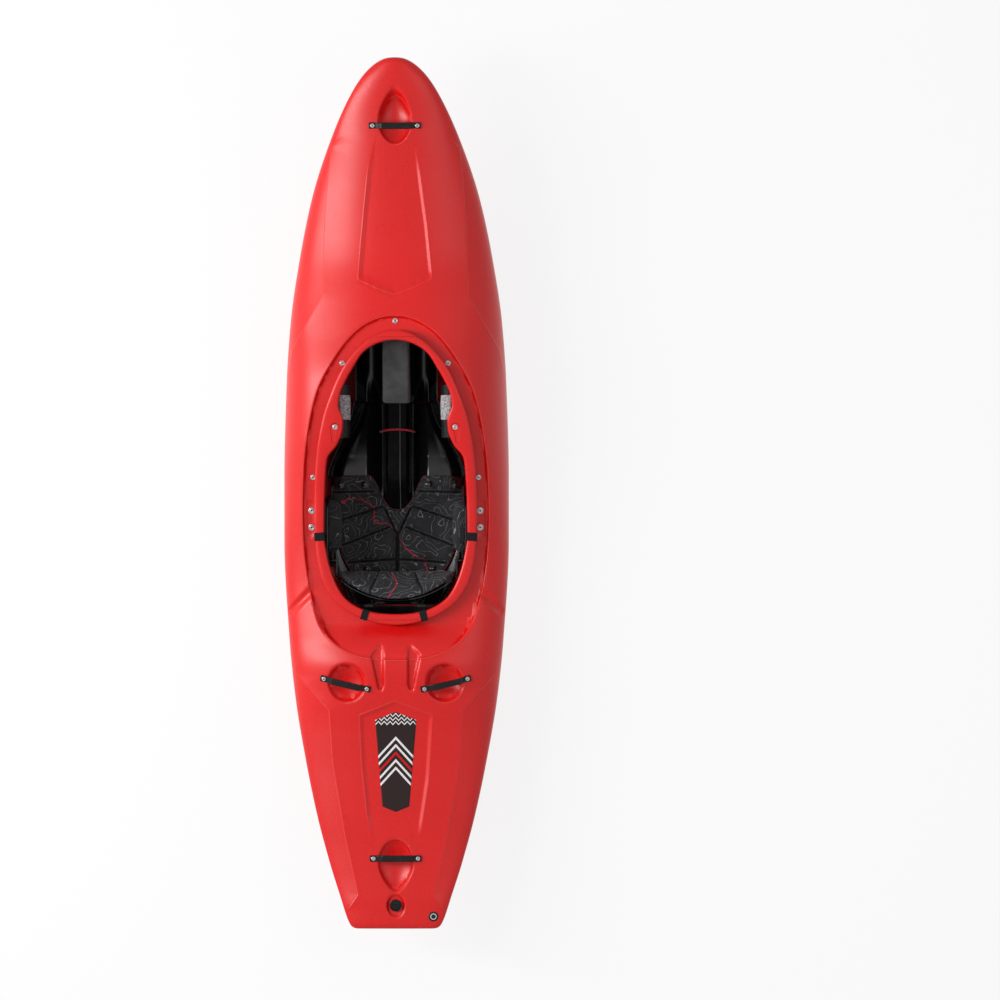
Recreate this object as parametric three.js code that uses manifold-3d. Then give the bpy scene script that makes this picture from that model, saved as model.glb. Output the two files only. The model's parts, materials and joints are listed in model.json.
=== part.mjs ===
// A whitewater kayak: a one-piece moulded shell with a keyhole cockpit, and the seat, braces,
// foam pillars, foot bulkhead, grab handles, drain plug and fasteners that it carries.
// Millimetres. +X is starboard, +Y is the bow, +Z is up. The origin is under the middle of the
// boat, on the flat of the hull that it rests on.
import * as THREE from "three";
import { mergeVertices } from "three/addons/utils/BufferGeometryUtils.js";
import Module from "manifold-3d";

const wasm = await Module();
wasm.setup();

// Driving dimensions
const BOAT_LENGTH = 2700;
const BOAT_BEAM = 706;
const BOW_HEIGHT = 451;
const SHELL_WALL = 6;
const CLEARANCE = 0.3;
const OVERRUN = 20;
const SURFACE_STEP = 2;
const MARCH_STEP = 0.25;
const DECK_STEPS = 7;
const SIDE_STEPS = 3;
const CUT_TOP = BOW_HEIGHT + 5 * OVERRUN;

// Cockpit
const RIM_LENGTH = 916;
const RIM_WIDTH = 506;
const RIM_FRONT = 512;
const RIM_STEPS = 16;
const RIM_STAND = 36;
const RIM_ROUND = 5;
const LIP_DROP = 18;
const LIP_THICKNESS = 7;
const OPENING_LENGTH = 851;
const OPENING_WIDTH = 446;
const OPENING_FRONT = 481;
const TROUGH_LENGTH = 1066;
const TROUGH_WIDTH = 578;
const TROUGH_FRONT = 555;
const TROUGH_CAMBER = 14;
const TROUGH_STEPS = 12;
const COVE_START = -393;
const COVE_END = -505;
const COVE_RISE = 58;

// Grab handles, and the finger hollows under them
const HANDLE_LENGTH = 162;
const HANDLE_WIDTH = 20;
const HANDLE_THICKNESS = 8;
const HANDLE_ARCH = 11;
const HANDLE_RISE_SPAN = 84;
const HANDLE_PAD = 5;
const HANDLE_GAP = 1.2;
const HANDLE_ROUND = 2;
const HANDLE_BOLT_SPACING = 139;
const HANDLE_BOLT_HEAD = 13;
const HANDLE_BOLT_SHANK = 6;
const HANDLE_BOLT_LENGTH = 18;
const BOW_HANDLE_INSET = 207;
const BOW_BOWL_SHIFT = 17;
const BOW_BOWL_WIDTH = 105;
const BOW_BOWL_LENGTH = 156;
const BOWL_DEPTH = 38;
const STERN_HANDLE_INSET = 218;
const STERN_BOWL_SHIFT = -18;
const STERN_BOWL_WIDTH = 111;
const STERN_BOWL_LENGTH = 160;
const STERN_BOWL_DEPTH = 27;
const SIDE_HANDLE_X = 156;
const SIDE_HANDLE_Y = -586;
const SIDE_HANDLE_ANGLE = THREE.MathUtils.degToRad(13);
const SIDE_BOWL_WIDTH = 119;
const BOWL_SEGMENTS = 14;
const BOWL_RINGS = 8;

// Grooves behind and beside the cockpit
const WEDGE_X = 58;
const WEDGE_START = -455;
const WEDGE_LENGTH = 147;
const WEDGE_WIDTH = 36;
const WEDGE_DEPTH = 14;
const SLASH_X = 252;
const SLASH_Y = -286;
const SLASH_REACH = 74;
const SLASH_WIDTH = 20;
const SLASH_DEPTH = 10;

// Drain
const DRAIN_INSET = 73;
const DRAIN_RECESS_WIDTH = 51;
const DRAIN_RECESS_LENGTH = 66;
const DRAIN_RECESS_DEPTH = 8;
const DRAIN_SIDES = 16;
const DRAIN_SLEEVE = 10.5;
const DRAIN_SLEEVE_LENGTH = 18;
const DRAIN_BORE = 8;
const DRAIN_FLANGE = 16;
const DRAIN_FLANGE_THICKNESS = 1.5;
const GASKET_RADIUS = 14;
const GASKET_THICKNESS = 1.5;
const PLUG_RADIUS = 19;
const PLUG_RIM = 4;
const PLUG_GRIP_LENGTH = 30;
const PLUG_GRIP_WIDTH = 6;
const PLUG_GRIP_HEIGHT = 5;

// Fasteners
const BOLT_SIDES = 10;
const HEAD_GAP = 0.8;
const WASHER_GAP = 2.4;
const SLOT_SIDES = 12;
const SCREW_RISE = 3;
const RIM_SCREW_HEAD = 11;
const SCREW_SHANK = 5;
const SCREW_LENGTH = 14;
const RIM_SCREW_FRONT_Y = 541;
const KNEE_SCREW_X = 164;
const KNEE_SCREW_Y = 410;
const HIP_SCREW_X = 258;
const HIP_SCREW_Y = 57;
const SEAT_BOLT_HEAD = 20;
const SEAT_BOLT_RISE = 4;
const SEAT_BOLT_SHANK = 8;
const SEAT_BOLT_LENGTH = 20;
const SEAT_BOLT_X = 263;
const SEAT_BOLT_FRONT_Y = -47;
const SEAT_BOLT_REAR_Y = -99;
const BRACE_BOLT_HEAD = 16;
const BRACE_BOLT_SHANK = 8;
const BRACE_BOLT_LENGTH = 66;
const BRACE_BOLT_X = 186;
const BRACE_BOLT_Y = 212;
const RAIL_BOLT_HEAD = 19;
const RAIL_BOLT_SHANK = 8;
const RAIL_BOLT_LENGTH = 24;
const RAIL_BOLT_FRONT_Y = 617;
const RAIL_BOLT_REAR_Y = 568;

// Thigh braces
const BRACE_TRAVEL = 20;
const BRACE_LENGTH = 165;
const BRACE_AHEAD = 50;
const BRACE_WALL = 5;
const BRACE_DROP = 7;
const BRACE_HOOK_X = 142;
const BRACE_HOOK_DROP = 24;
const BRACE_EDGE_X = 150;
const BRACE_OUTER_X = 228;
const BRACE_OUTER_DROP = 30;
const BRACE_ROUND = 13;
const THIGH_PAD_THICKNESS = 10;

// Foot bulkhead and its rails
const RAIL_AFT_Y = 545;
const RAIL_AFT_Z = 178;
const RAIL_FRONT_Y = 872;
const RAIL_FRONT_Z = 212;
const RAIL_SETBACK = 12;
const RAIL_WIDTH = 24;
const RAIL_THICKNESS = 4;
const SHOE_LENGTH = 40;
const SHOE_THICKNESS = 6;
const TAB_LAP = 35;
const TAB_THICKNESS = 5;
const TAB_HEIGHT = 26;
const BULKHEAD_Y = 790;
const BULKHEAD_TRAVEL = 60;
const BULKHEAD_WIDTH = 350;
const BULKHEAD_LOW = 150;
const BULKHEAD_HIGH = 320;
const BULKHEAD_WALL = 8;
const BULKHEAD_ROUND = 50;
const BULKHEAD_ROUND_STEPS = 6;
const FOOT_PAD_EDGE = 10;
const FOOT_PAD_THICKNESS = 28;

// Seat
const SEAT_TRAVEL = 25;
const PAN_FRONT = 300;
const PAN_REAR = -345;
const PAN_WIDTH = 424;
const PAN_WALL = 5;
const PAN_FOOT_FRONT = 122;
const PAN_FOOT_REAR = -122;
const PAN_RELIEF = 2;
const PAN_FILL = 30;
const EDGE_RISE = 45;
const THIGH_RISE = 85;
const THIGH_START = -40;
const THIGH_TOP = 50;
const THIGH_FALL = 85;
const THIGH_END = 235;
const THIGH_LOBE_X = 100;
const RIDGE_HALF = 45;
const RIDGE_ROUND = 8;
const RIDGE_RISE = 95;
const RIDGE_START = -30;
const RIDGE_FULL = 60;
const CHEEK_SPREAD = 430;
const CHEEK_FRONT = 0;
const CHEEK_REAR = -225;
const CHEEK_FOOT = 40;
const CHEEK_TOP = 205;
const CHEEK_SHELF = 203;
const SHELF_HEIGHT = 12;
const BRACKET_WALL = 4;
const BRACKET_FOOT_Z = 150;
const BRACKET_LENGTH = 100;
const BRACKET_LAP = 18;
const BRACKET_GAP = 1.2;
const PAD_FRONT = 64;
const PAD_REAR = -255;
const PAD_WIDTH = 420;
const PAD_THICKNESS = 16;
const PAD_EDGE = 7;
const PAD_SINK = 8;
const PAD_CROWN_POWER = 5;
const NOTCH_HALF = 87;
const NOTCH_DEPTH = 107;
const NOTCH_POWER = 1.8;
const CHANNEL_WIDTH = 15;
const CHANNEL_DEPTH = 8;
const HIP_PAD_Y = -96;
const HIP_PAD_Z = 124;
const HIP_PAD_LENGTH = 160;
const HIP_PAD_HEIGHT = 112;
const HIP_PAD_THICKNESS = 35;
const HIP_PAD_SIDES = 24;
const CORD_Y = 204;
const CORD_RADIUS = 3;
const CORD_LIFT = 4.3;
const CORD_REACH = 54;
const CORD_DROP = 40;
const CORD_SIDES = 8;
const CORD_STEPS = 20;

// Back band and ratchets
const BAND_HALF_WIDTH = 190;
const BAND_SAG = 80;
const BAND_REAR_Y = -325;
const BAND_LOW = 130;
const BAND_HIGH = 245;
const BAND_STEPS = 16;
const BAND_CROWN_POWER = 4;
const BAND_PAD_THICKNESS = 24;
const BAND_PAD_LAP = 8;
const BAND_PIVOT_Y = -205;
const BAND_PIVOT_Z = 150;
const BAND_EAR_REAR = -262;
const EAR_SET = 4;
const EAR_HEIGHT = 30;
const BOSS_LENGTH = 31;
const BOSS_RADIUS = 6;
const RATCHET_REAR = -150;
const RATCHET_LENGTH = 50;
const RATCHET_Z = 184;
const RATCHET_HEIGHT = 10;
const RATCHET_WIDTH = 16;
const BARREL_RADIUS = 4.5;
const PIN_RADIUS = 2;
const LUG_WALL = 3;
const LEVER_LENGTH = 55;
const LEVER_THICKNESS = 5;

// Foam pillars
const FRONT_PILLAR_WIDTH = 81;
const PILLAR_FRONT_GAP = 8;
const PILLAR_REAR = 291;
const PILLAR_END_TOP = 292;
const PILLAR_SLOPE_SHARE = 0.24;
const PILLAR_STEPS = 12;
const REAR_PILLAR_WIDTH = 90;
const REAR_PILLAR_FRONT = -520;
const REAR_PILLAR_REAR = -1040;

// Materials
const finish = (color, roughness, metalness = 0) =>
  new THREE.MeshStandardMaterial({ color, roughness, metalness });
const RED_PLASTIC = finish(0xd8151b, 0.42);
const BLACK_PLASTIC = finish(0x141516, 0.4);
const HANDLE_BLACK = finish(0x0d0e0f, 0.35);
const PAD_FABRIC = finish(0x2b2d2f, 0.9);
const GREY_FOAM = finish(0x4a4c4d, 0.95);
const STEEL = finish(0xc8c9c6, 0.3, 0.9);
const RUBBER = finish(0x101112, 0.75);
const RED_CORD = finish(0xc8102e, 0.6);

const part = new THREE.Group();
const at = (x, y, z) => new THREE.Vector3(x, y, z);

// Adds one named solid to the part.
function addPiece(name, solid, material) {
  const made = solid.getMesh();
  const stride = made.numProp;
  const position = new Float32Array(made.numVert * 3);
  for (let i = 0; i < made.numVert; i++) {
    position.set(made.vertProperties.subarray(i * stride, i * stride + 3), i * 3);
  }
  const geometry = new THREE.BufferGeometry();
  geometry.setAttribute("position", new THREE.BufferAttribute(position, 3));
  geometry.setIndex(new THREE.BufferAttribute(made.triVerts, 1));
  const mesh = new THREE.Mesh(geometry, material);
  mesh.name = name;
  part.add(mesh);
}

// Solids from vertices and from three.js geometry
function solidOf(points, faces) {
  const vertProperties = new Float32Array(points.flatMap((p) => [p.x, p.y, p.z]));
  const build = (triangles) =>
    new wasm.Manifold(
      new wasm.Mesh({ numProp: 3, vertProperties, triVerts: new Uint32Array(triangles.flat()) }),
    );
  const made = build(faces);
  return made.volume() > 0 ? made : build(faces.map(([a, b, c]) => [a, c, b]));
}

function solidFrom(geometry) {
  const bare = geometry.clone();
  bare.deleteAttribute("normal");
  bare.deleteAttribute("uv");
  const merged = mergeVertices(bare);
  const points = [];
  const position = merged.attributes.position;
  for (let i = 0; i < position.count; i++) {
    points.push(new THREE.Vector3().fromBufferAttribute(position, i));
  }
  const faces = [];
  const index = merged.index.array;
  for (let i = 0; i < index.length; i += 3) {
    const [a, b, c] = index.subarray(i, i + 3);
    if (a !== b && b !== c && c !== a) faces.push([a, b, c]);
  }
  return solidOf(points, faces);
}

// A profile of [radius, height] turned about +Z, and a geometry stood up along an axis
function lathed(profile, sides) {
  const points = profile.map(([radius, z]) => new THREE.Vector2(radius, z));
  return new THREE.LatheGeometry(points, sides).rotateX(Math.PI / 2);
}

function turnedTo(geometry, point, axis) {
  const turn = new THREE.Quaternion().setFromUnitVectors(new THREE.Vector3(0, 0, 1), axis);
  return geometry.applyQuaternion(turn).translate(point.x, point.y, point.z);
}

const largest = (solid) =>
  solid.decompose().reduce((a, b) => (a.volume() > b.volume() ? a : b));

// A closed skin through rings of points, with a fan over each end.
function loft(rings) {
  const size = rings[0].length;
  const points = rings.flat();
  const faces = [];
  for (let r = 0; r + 1 < rings.length; r++) {
    for (let i = 0; i < size; i++) {
      const a = r * size + i;
      const b = r * size + ((i + 1) % size);
      faces.push([a, b, b + size], [a, b + size, a + size]);
    }
  }
  for (const [ring, base, turn] of [
    [rings[0], 0, true],
    [rings.at(-1), (rings.length - 1) * size, false],
  ]) {
    const middle = ring.reduce((sum, p) => sum.add(p), new THREE.Vector3());
    points.push(middle.divideScalar(size));
    for (let i = 0; i < size; i++) {
      const [a, b] = [base + i, base + ((i + 1) % size)];
      faces.push(turn ? [points.length - 1, b, a] : [points.length - 1, a, b]);
    }
  }
  return solidOf(points, faces);
}

// A closed loop of rings, such as a rim.
function loop(rings) {
  const size = rings[0].length;
  const faces = [];
  rings.forEach((_, r) => {
    const next = (r + 1) % rings.length;
    for (let i = 0; i < size; i++) {
      const j = (i + 1) % size;
      faces.push(
        [r * size + i, r * size + j, next * size + j],
        [r * size + i, next * size + j, next * size + i],
      );
    }
  });
  return solidOf(rings.flat(), faces);
}

// A plate between two grids of points that have the same rows and columns.
function plateBetween(top, bottom) {
  const [rows, columns] = [top.length, top[0].length];
  const points = [...top.flat(), ...bottom.flat()];
  const under = rows * columns;
  const faces = [];
  const quad = (a, b, c, d) => faces.push([a, b, c], [a, c, d]);
  for (let r = 0; r + 1 < rows; r++) {
    for (let c = 0; c + 1 < columns; c++) {
      const a = r * columns + c;
      quad(a, a + 1, a + columns + 1, a + columns);
      quad(under + a, under + a + columns, under + a + columns + 1, under + a + 1);
    }
  }
  const edge = [];
  for (let c = 0; c + 1 < columns; c++) edge.push(c);
  for (let r = 0; r + 1 < rows; r++) edge.push(r * columns + columns - 1);
  for (let c = columns - 1; c > 0; c--) edge.push((rows - 1) * columns + c);
  for (let r = rows - 1; r > 0; r--) edge.push(r * columns);
  edge.forEach((a, i) => {
    const b = edge[(i + 1) % edge.length];
    quad(b, a, under + a, under + b);
  });
  return solidOf(points, faces);
}

// A smooth curve through hand-picked shares that never overshoots them. Places run from 0 to 1,
// and the curve is even in the angle of a half circle, so that it can turn a blunt end.
function curveThrough(table) {
  const angle = (share) => Math.acos(1 - 2 * Math.min(1, Math.max(0, share)));
  const at = table.map(([share]) => angle(share));
  const value = table.map(([, v]) => v);
  const slope = at.slice(1).map((a, i) => (value[i + 1] - value[i]) / (a - at[i]));
  const tangent = at.map((_, i) => {
    if (i === 0) return slope[0];
    if (i === at.length - 1) return slope.at(-1);
    const [before, after] = [slope[i - 1], slope[i]];
    return before * after <= 0 ? 0 : (2 * before * after) / (before + after);
  });
  return (share) => {
    const here = angle(share);
    let i = 0;
    while (i < at.length - 2 && here > at[i + 1]) i++;
    const step = at[i + 1] - at[i];
    const q = (here - at[i]) / step;
    return (
      value[i] * (1 + 2 * q) * (1 - q) ** 2 +
      tangent[i] * step * q * (1 - q) ** 2 +
      value[i + 1] * q * q * (3 - 2 * q) +
      tangent[i + 1] * step * q * q * (q - 1)
    );
  };
}

const ease = (a, b, v) => {
  const q = Math.min(1, Math.max(0, (v - a) / (b - a)));
  return q * q * (3 - 2 * q);
};

// Hull form. Each table gives a share of the length from the bow, and a share of the size named.
const halfBeamShares = [
  [0, 0.03], [0.007, 0.175], [0.0207, 0.285], [0.0437, 0.4], [0.09, 0.566], [0.159, 0.746],
  [0.2285, 0.859], [0.2974, 0.938], [0.3667, 0.976], [0.482, 1], [0.551, 1], [0.667, 0.952],
  [0.736, 0.896], [0.805, 0.806], [0.874, 0.693], [0.92, 0.597], [0.967, 0.482], [0.99, 0.4225],
  [0.9963, 0.397], [1, 0.34],
];
const keelShares = [
  [0, 0.951], [0.0104, 0.885], [0.024, 0.816], [0.0467, 0.707], [0.0922, 0.53], [0.138, 0.386],
  [0.1837, 0.2705], [0.229, 0.182], [0.275, 0.106], [0.32, 0.058], [0.366, 0.0244], [0.412, 0.007],
  [0.444, 0], [0.556, 0], [0.594, 0.012], [0.64, 0.0377], [0.6856, 0.0776], [0.731, 0.14],
  [0.7767, 0.208], [0.8226, 0.2905], [0.868, 0.368], [0.9137, 0.448], [0.959, 0.532],
  [0.982, 0.572], [0.9937, 0.592], [1, 0.62],
];
const sheerShares = [
  [0, 0.962], [0.0104, 0.93], [0.032, 0.885], [0.1055, 0.704], [0.169, 0.583], [0.212, 0.523],
  [0.2426, 0.494], [0.306, 0.4435], [0.373, 0.412], [0.4467, 0.3836], [0.583, 0.386],
  [0.644, 0.406], [0.72, 0.437], [0.7815, 0.468], [0.874, 0.53], [0.935, 0.572], [0.979, 0.613],
  [1, 0.63],
];
const deckShares = [
  [0, 0.973], [0.0056, 1], [0.0148, 0.993], [0.033, 0.969], [0.0922, 0.891], [0.138, 0.865],
  [0.1837, 0.84], [0.229, 0.827], [0.275, 0.846], [0.315, 0.867], [0.374, 0.905], [0.43, 0.889],
  [0.456, 0.854], [0.511, 0.765], [0.5715, 0.678], [0.615, 0.654], [0.6626, 0.676],
  [0.6963, 0.705], [0.731, 0.6785], [0.7767, 0.6386], [0.8226, 0.625], [0.891, 0.625],
  [0.9367, 0.6386], [0.971, 0.6585], [0.9937, 0.662], [1, 0.642],
];
const chineHalfShares = [
  [0, 0.5], [0.1, 0.56], [0.229, 0.66], [0.35, 0.73], [0.5, 0.75], [0.7, 0.78], [1, 0.84],
];
const chineRiseShares = [
  [0, 0.4], [0.1, 0.32], [0.229, 0.25], [0.35, 0.2], [0.5, 0.185], [0.7, 0.22], [1, 0.35],
];
const flatBottomShares = [[0, 0], [0.15, 0.1], [0.35, 0.4], [0.5, 0.46], [0.7, 0.4], [1, 0.5]];
const deckFullnessShares = [[0, 2.2], [0.2, 2.3], [0.4, 2.8], [0.62, 2.8], [0.75, 2.6], [1, 2.6]];
const SIDE_BULGE_SHARE = 0.018;
const CORNER_REACH_SHARE = 1.6;
const bottomStepShares = [0.8, 0.62];
const stationShares = [
  0, 0.0025, 0.009, 0.02, 0.0437, 0.067, 0.1, 0.14, 0.185, 0.229, 0.27, 0.31, 0.36, 0.41,
  0.444, 0.5, 0.556, 0.594, 0.635, 0.6626, 0.69, 0.73, 0.78, 0.84, 0.89, 0.93,
  0.967, 0.982, 0.994, 1,
];
const CAVITY_START_SHARE = 0.02;
const CAVITY_END_SHARE = 0.982;
const rimTopShares = [
  [0.29, 0.905], [0.32, 0.911], [0.343, 0.905], [0.366, 0.885], [0.389, 0.865], [0.412, 0.836],
  [0.434, 0.809], [0.457, 0.776], [0.48, 0.747], [0.503, 0.714], [0.526, 0.693], [0.5485, 0.672],
  [0.5715, 0.6585], [0.594, 0.652], [0.617, 0.646], [0.7, 0.645],
];

// Outlines in plan, as half widths along their lengths from the front
const troughHalfShares = [
  [0, 0], [0.044, 0.414], [0.133, 0.6735], [0.228, 0.848], [0.342, 0.941], [0.456, 0.988],
  [0.583, 1], [0.678, 0.988], [0.792, 0.929], [0.83, 0.895], [0.927, 0.741], [0.978, 0.508],
  [0.9956, 0.252], [1, 0],
];
const rimHalfShares = [
  [0, 0], [0.02, 0.259], [0.068, 0.4735], [0.1305, 0.647], [0.211, 0.7805], [0.3, 0.888],
  [0.3956, 0.954], [0.499, 0.989], [0.6315, 1], [0.742, 0.9815], [0.838, 0.914],
  [0.9116, 0.767], [0.9595, 0.554], [0.989, 0.286], [1, 0],
];
const openingHalfShares = [
  [0, 0], [0.0117, 0.237], [0.0476, 0.45], [0.095, 0.57], [0.151, 0.691], [0.198, 0.767],
  [0.238, 0.788], [0.2935, 0.722], [0.3335, 0.7375], [0.381, 0.813], [0.4286, 0.948],
  [0.484, 0.9735], [0.603, 0.9944], [0.7064, 1], [0.786, 0.958], [0.865, 0.873],
  [0.9367, 0.722], [0.98, 0.479], [0.996, 0.237], [1, 0],
];
const troughRingShares = [0.4, 0.6, 0.8];
const grooveRingShares = [0.5];
const headTopShare = 0.6;
const handleEndShare = 0.7;
const braceEdgeShare = 0.45;
const bulkheadFootShare = 0.7;
const EDGE_FROM_SHARE = 0.5;
const THIGH_EDGE_SHARE = 0.8;
const panHalfShares = [
  [0, 0.46], [0.1, 0.6], [0.27, 0.9], [0.37, 1], [0.55, 1], [0.68, 0.97], [0.8, 0.9],
  [0.9, 0.8], [1, 0.6],
];
const panRowShares = [
  0, 0.04, 0.1, 0.16, 0.22, 0.28, 0.33, 0.38, 0.42, 0.46, 0.5, 0.54, 0.6, 0.68, 0.76, 0.84, 0.9,
  0.95, 1,
];
const panColumnShares = [0.25, 0.5, 0.72, 0.88, 1];
const padHalfShares = [
  [0, 0.93], [0.06, 1], [0.2, 0.985], [0.4, 0.95], [0.635, 0.888], [0.78, 0.838],
  [0.918, 0.735], [1, 0.6],
];
const padColumnShares = [
  -1, -0.93, -0.82, -0.7, -0.58, -0.46, -0.34, -0.22, -0.1, 0, 0.1, 0.22, 0.34, 0.46, 0.58, 0.7,
  0.82, 0.93, 1,
];
const padRowShares = [
  0, 0.04, 0.1, 0.16, 0.23, 0.3, 0.37, 0.44, 0.51, 0.58, 0.65, 0.72, 0.79, 0.86, 0.92, 0.97, 1,
];
const channelShares = [
  [[0.965, 0.167], [0.326, 0.157]], [[0.845, 0.442], [0.224, 0.307]],
  [[0.829, 0.694], [0.124, 0.514]], [[0.733, 0.868], [0, 0.834]],
  [[0.19, 0.335], [0.012, 0.583]], [[0, 0.583], [0, 0.94]],
];
const hipPadShares = [[0, 1], [0.6, 1], [0.88, 0.9], [1, 0.7]];
const bandEdgeShare = 0.25;
const bandEndShare = 0.5;
const bandRoundShare = 0.18;
const bandPadShare = 0.97;

const beamCurve = curveThrough(halfBeamShares);
const keelCurve = curveThrough(keelShares);
const sheerCurve = curveThrough(sheerShares);
const deckCurve = curveThrough(deckShares);
const chineHalfCurve = curveThrough(chineHalfShares);
const chineRiseCurve = curveThrough(chineRiseShares);
const flatCurve = curveThrough(flatBottomShares);
const fullnessCurve = curveThrough(deckFullnessShares);

const yOf = (share) => BOAT_LENGTH * (0.5 - share);
const shareOf = (y) => 0.5 - y / BOAT_LENGTH;
const halfBeam = (share) => (BOAT_BEAM / 2) * beamCurve(share);
const keelZ = (share) => BOW_HEIGHT * keelCurve(share);
const sheerZ = (share) => BOW_HEIGHT * sheerCurve(share);
const deckZ = (share) => BOW_HEIGHT * deckCurve(share);

// The deck's height over a point of the plan, before anything is pressed into it.
function deckHeight(x, y) {
  const share = shareOf(y);
  const across = Math.min(1, Math.abs(x) / halfBeam(share));
  const crown = Math.sqrt(1 - across ** fullnessCurve(share));
  return sheerZ(share) + (deckZ(share) - sheerZ(share)) * crown;
}

// The hull's half width at a height between the chine and the sheer.
function hullSide(y, z) {
  const share = shareOf(y);
  const [half, sheer] = [halfBeam(share), sheerZ(share)];
  const chineZ = keelZ(share) + chineRiseCurve(share) * (sheer - keelZ(share));
  const q = (sheer - z) / (sheer - chineZ);
  const chineHalf = half * chineHalfCurve(share);
  return half + (chineHalf - half) * q + SIDE_BULGE_SHARE * half * Math.sin(Math.PI * q);
}

// Half of a section, from the middle of the deck round to the keel, as [x, z].
function halfSection(share) {
  const [half, keel, sheer] = [halfBeam(share), keelZ(share), sheerZ(share)];
  const rise = deckZ(share) - sheer;
  const power = 2 / fullnessCurve(share);
  const points = [];
  for (let i = 0; i <= DECK_STEPS; i++) {
    const turn = (i / DECK_STEPS) * (Math.PI / 2);
    points.push([half * Math.sin(turn) ** power, sheer + rise * Math.cos(turn)]);
  }
  const chine = keel + chineRiseCurve(share) * (sheer - keel);
  const chineHalf = half * chineHalfCurve(share);
  for (let i = 1; i <= SIDE_STEPS; i++) {
    const q = i / SIDE_STEPS;
    const bulge = SIDE_BULGE_SHARE * half * Math.sin(Math.PI * q);
    points.push([half + (chineHalf - half) * q + bulge, sheer + (chine - sheer) * q]);
  }
  const flat = flatCurve(share);
  for (const r of [...bottomStepShares, flat]) {
    const q = Math.max(0, (r - flat) / (1 - flat));
    points.push([chineHalf * r, keel + (chine - keel) * q * q]);
  }
  points.push([0, keel]);
  return points;
}

// Moves a half section inwards by a wall.
function inset(points, wall) {
  const mirror = ([x, z]) => [-x, z];
  return points.map(([x, z], i) => {
    const before = i ? points[i - 1] : mirror(points[1]);
    const after = i + 1 < points.length ? points[i + 1] : mirror(points[i - 1]);
    const normals = [[before, [x, z]], [[x, z], after]].map(([p, q]) => {
      const [dx, dz] = [q[0] - p[0], q[1] - p[1]];
      const length = Math.hypot(dx, dz) || 1;
      return [dz / length, -dx / length];
    });
    const sum = [normals[0][0] + normals[1][0], normals[0][1] + normals[1][1]];
    const length = Math.hypot(...sum);
    const reach = (wall * Math.min(CORNER_REACH_SHARE, 2 / length)) / length;
    const onMiddle = i === 0 || i + 1 === points.length;
    return [onMiddle ? 0 : Math.max(0, x + sum[0] * reach), z + sum[1] * reach];
  });
}

function ringAt(y, half) {
  const right = half.map(([x, z]) => new THREE.Vector3(x, y, z));
  const left = half.slice(1, -1).reverse().map(([x, z]) => new THREE.Vector3(-x, y, z));
  return [...right, ...left];
}

const outerForm = loft(stationShares.map((s) => ringAt(yOf(s), halfSection(s))));
const innerForm = loft(
  stationShares
    .filter((s) => s >= CAVITY_START_SHARE && s <= CAVITY_END_SHARE)
    .map((s) => ringAt(yOf(s), inset(halfSection(s), SHELL_WALL))),
);
let outside = outerForm;
let inside = innerForm;

// Presses a hollow into the shell: the same hollow grown by the wall leaves the inside.
function pressIn(hollowGrownBy) {
  outside = outside.subtract(hollowGrownBy(0));
  inside = inside.subtract(hollowGrownBy(SHELL_WALL));
}

// A closed outline from half widths along a length, from its front back and round again.
function outlineOf(halfShares, length, width, front, steps) {
  const half = curveThrough(halfShares);
  const starboard = [];
  for (let i = 0; i <= steps; i++) {
    const along = (1 - Math.cos((Math.PI * i) / steps)) / 2;
    starboard.push([(width / 2) * half(along), front - length * along]);
  }
  const port = starboard.slice(1, -1).reverse().map(([x, y]) => [-x, y]);
  return [...starboard, ...port];
}

// Moves every point of a clockwise plan outline outwards.
function grown(outline, distance) {
  return outline.map(([x, y], i) => {
    const [px, py] = outline.at(i - 1);
    const [nx, ny] = outline[(i + 1) % outline.length];
    const length = Math.hypot(nx - px, ny - py);
    return [x - ((ny - py) / length) * distance, y + ((nx - px) / length) * distance];
  });
}

// A column that stands on a curved floor and runs straight up.
function column(outline, floorAt, top, innerShares) {
  const mx = outline.reduce((sum, [x]) => sum + x, 0) / outline.length;
  const my = outline.reduce((sum, [, y]) => sum + y, 0) / outline.length;
  const floorRing = (scale) =>
    outline.map(([x, y]) => {
      const [px, py] = [mx + (x - mx) * scale, my + (y - my) * scale];
      return new THREE.Vector3(px, py, floorAt(px, py));
    });
  const roof = outline.map(([x, y]) => new THREE.Vector3(x, y, top));
  return loft([...innerShares.map(floorRing), floorRing(1), roof]);
}

// Cockpit: the height of the rim, and of the floor of the trough that it stands in
const rimTopCurve = curveThrough(rimTopShares);
const rimTopZ = (y) => BOW_HEIGHT * rimTopCurve(shareOf(y));
const troughHalf = TROUGH_WIDTH / 2;
function troughFloor(x, y) {
  const cove = COVE_RISE * ease(-COVE_START, -COVE_END, -y);
  return rimTopZ(y) - RIM_STAND - TROUGH_CAMBER * (x / troughHalf) ** 2 + cove;
}

const troughOutline = outlineOf(
  troughHalfShares, TROUGH_LENGTH, TROUGH_WIDTH, TROUGH_FRONT, TROUGH_STEPS);
pressIn((wall) => column(
  grown(troughOutline, wall), (x, y) => troughFloor(x, y) - wall, CUT_TOP, troughRingShares));

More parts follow.
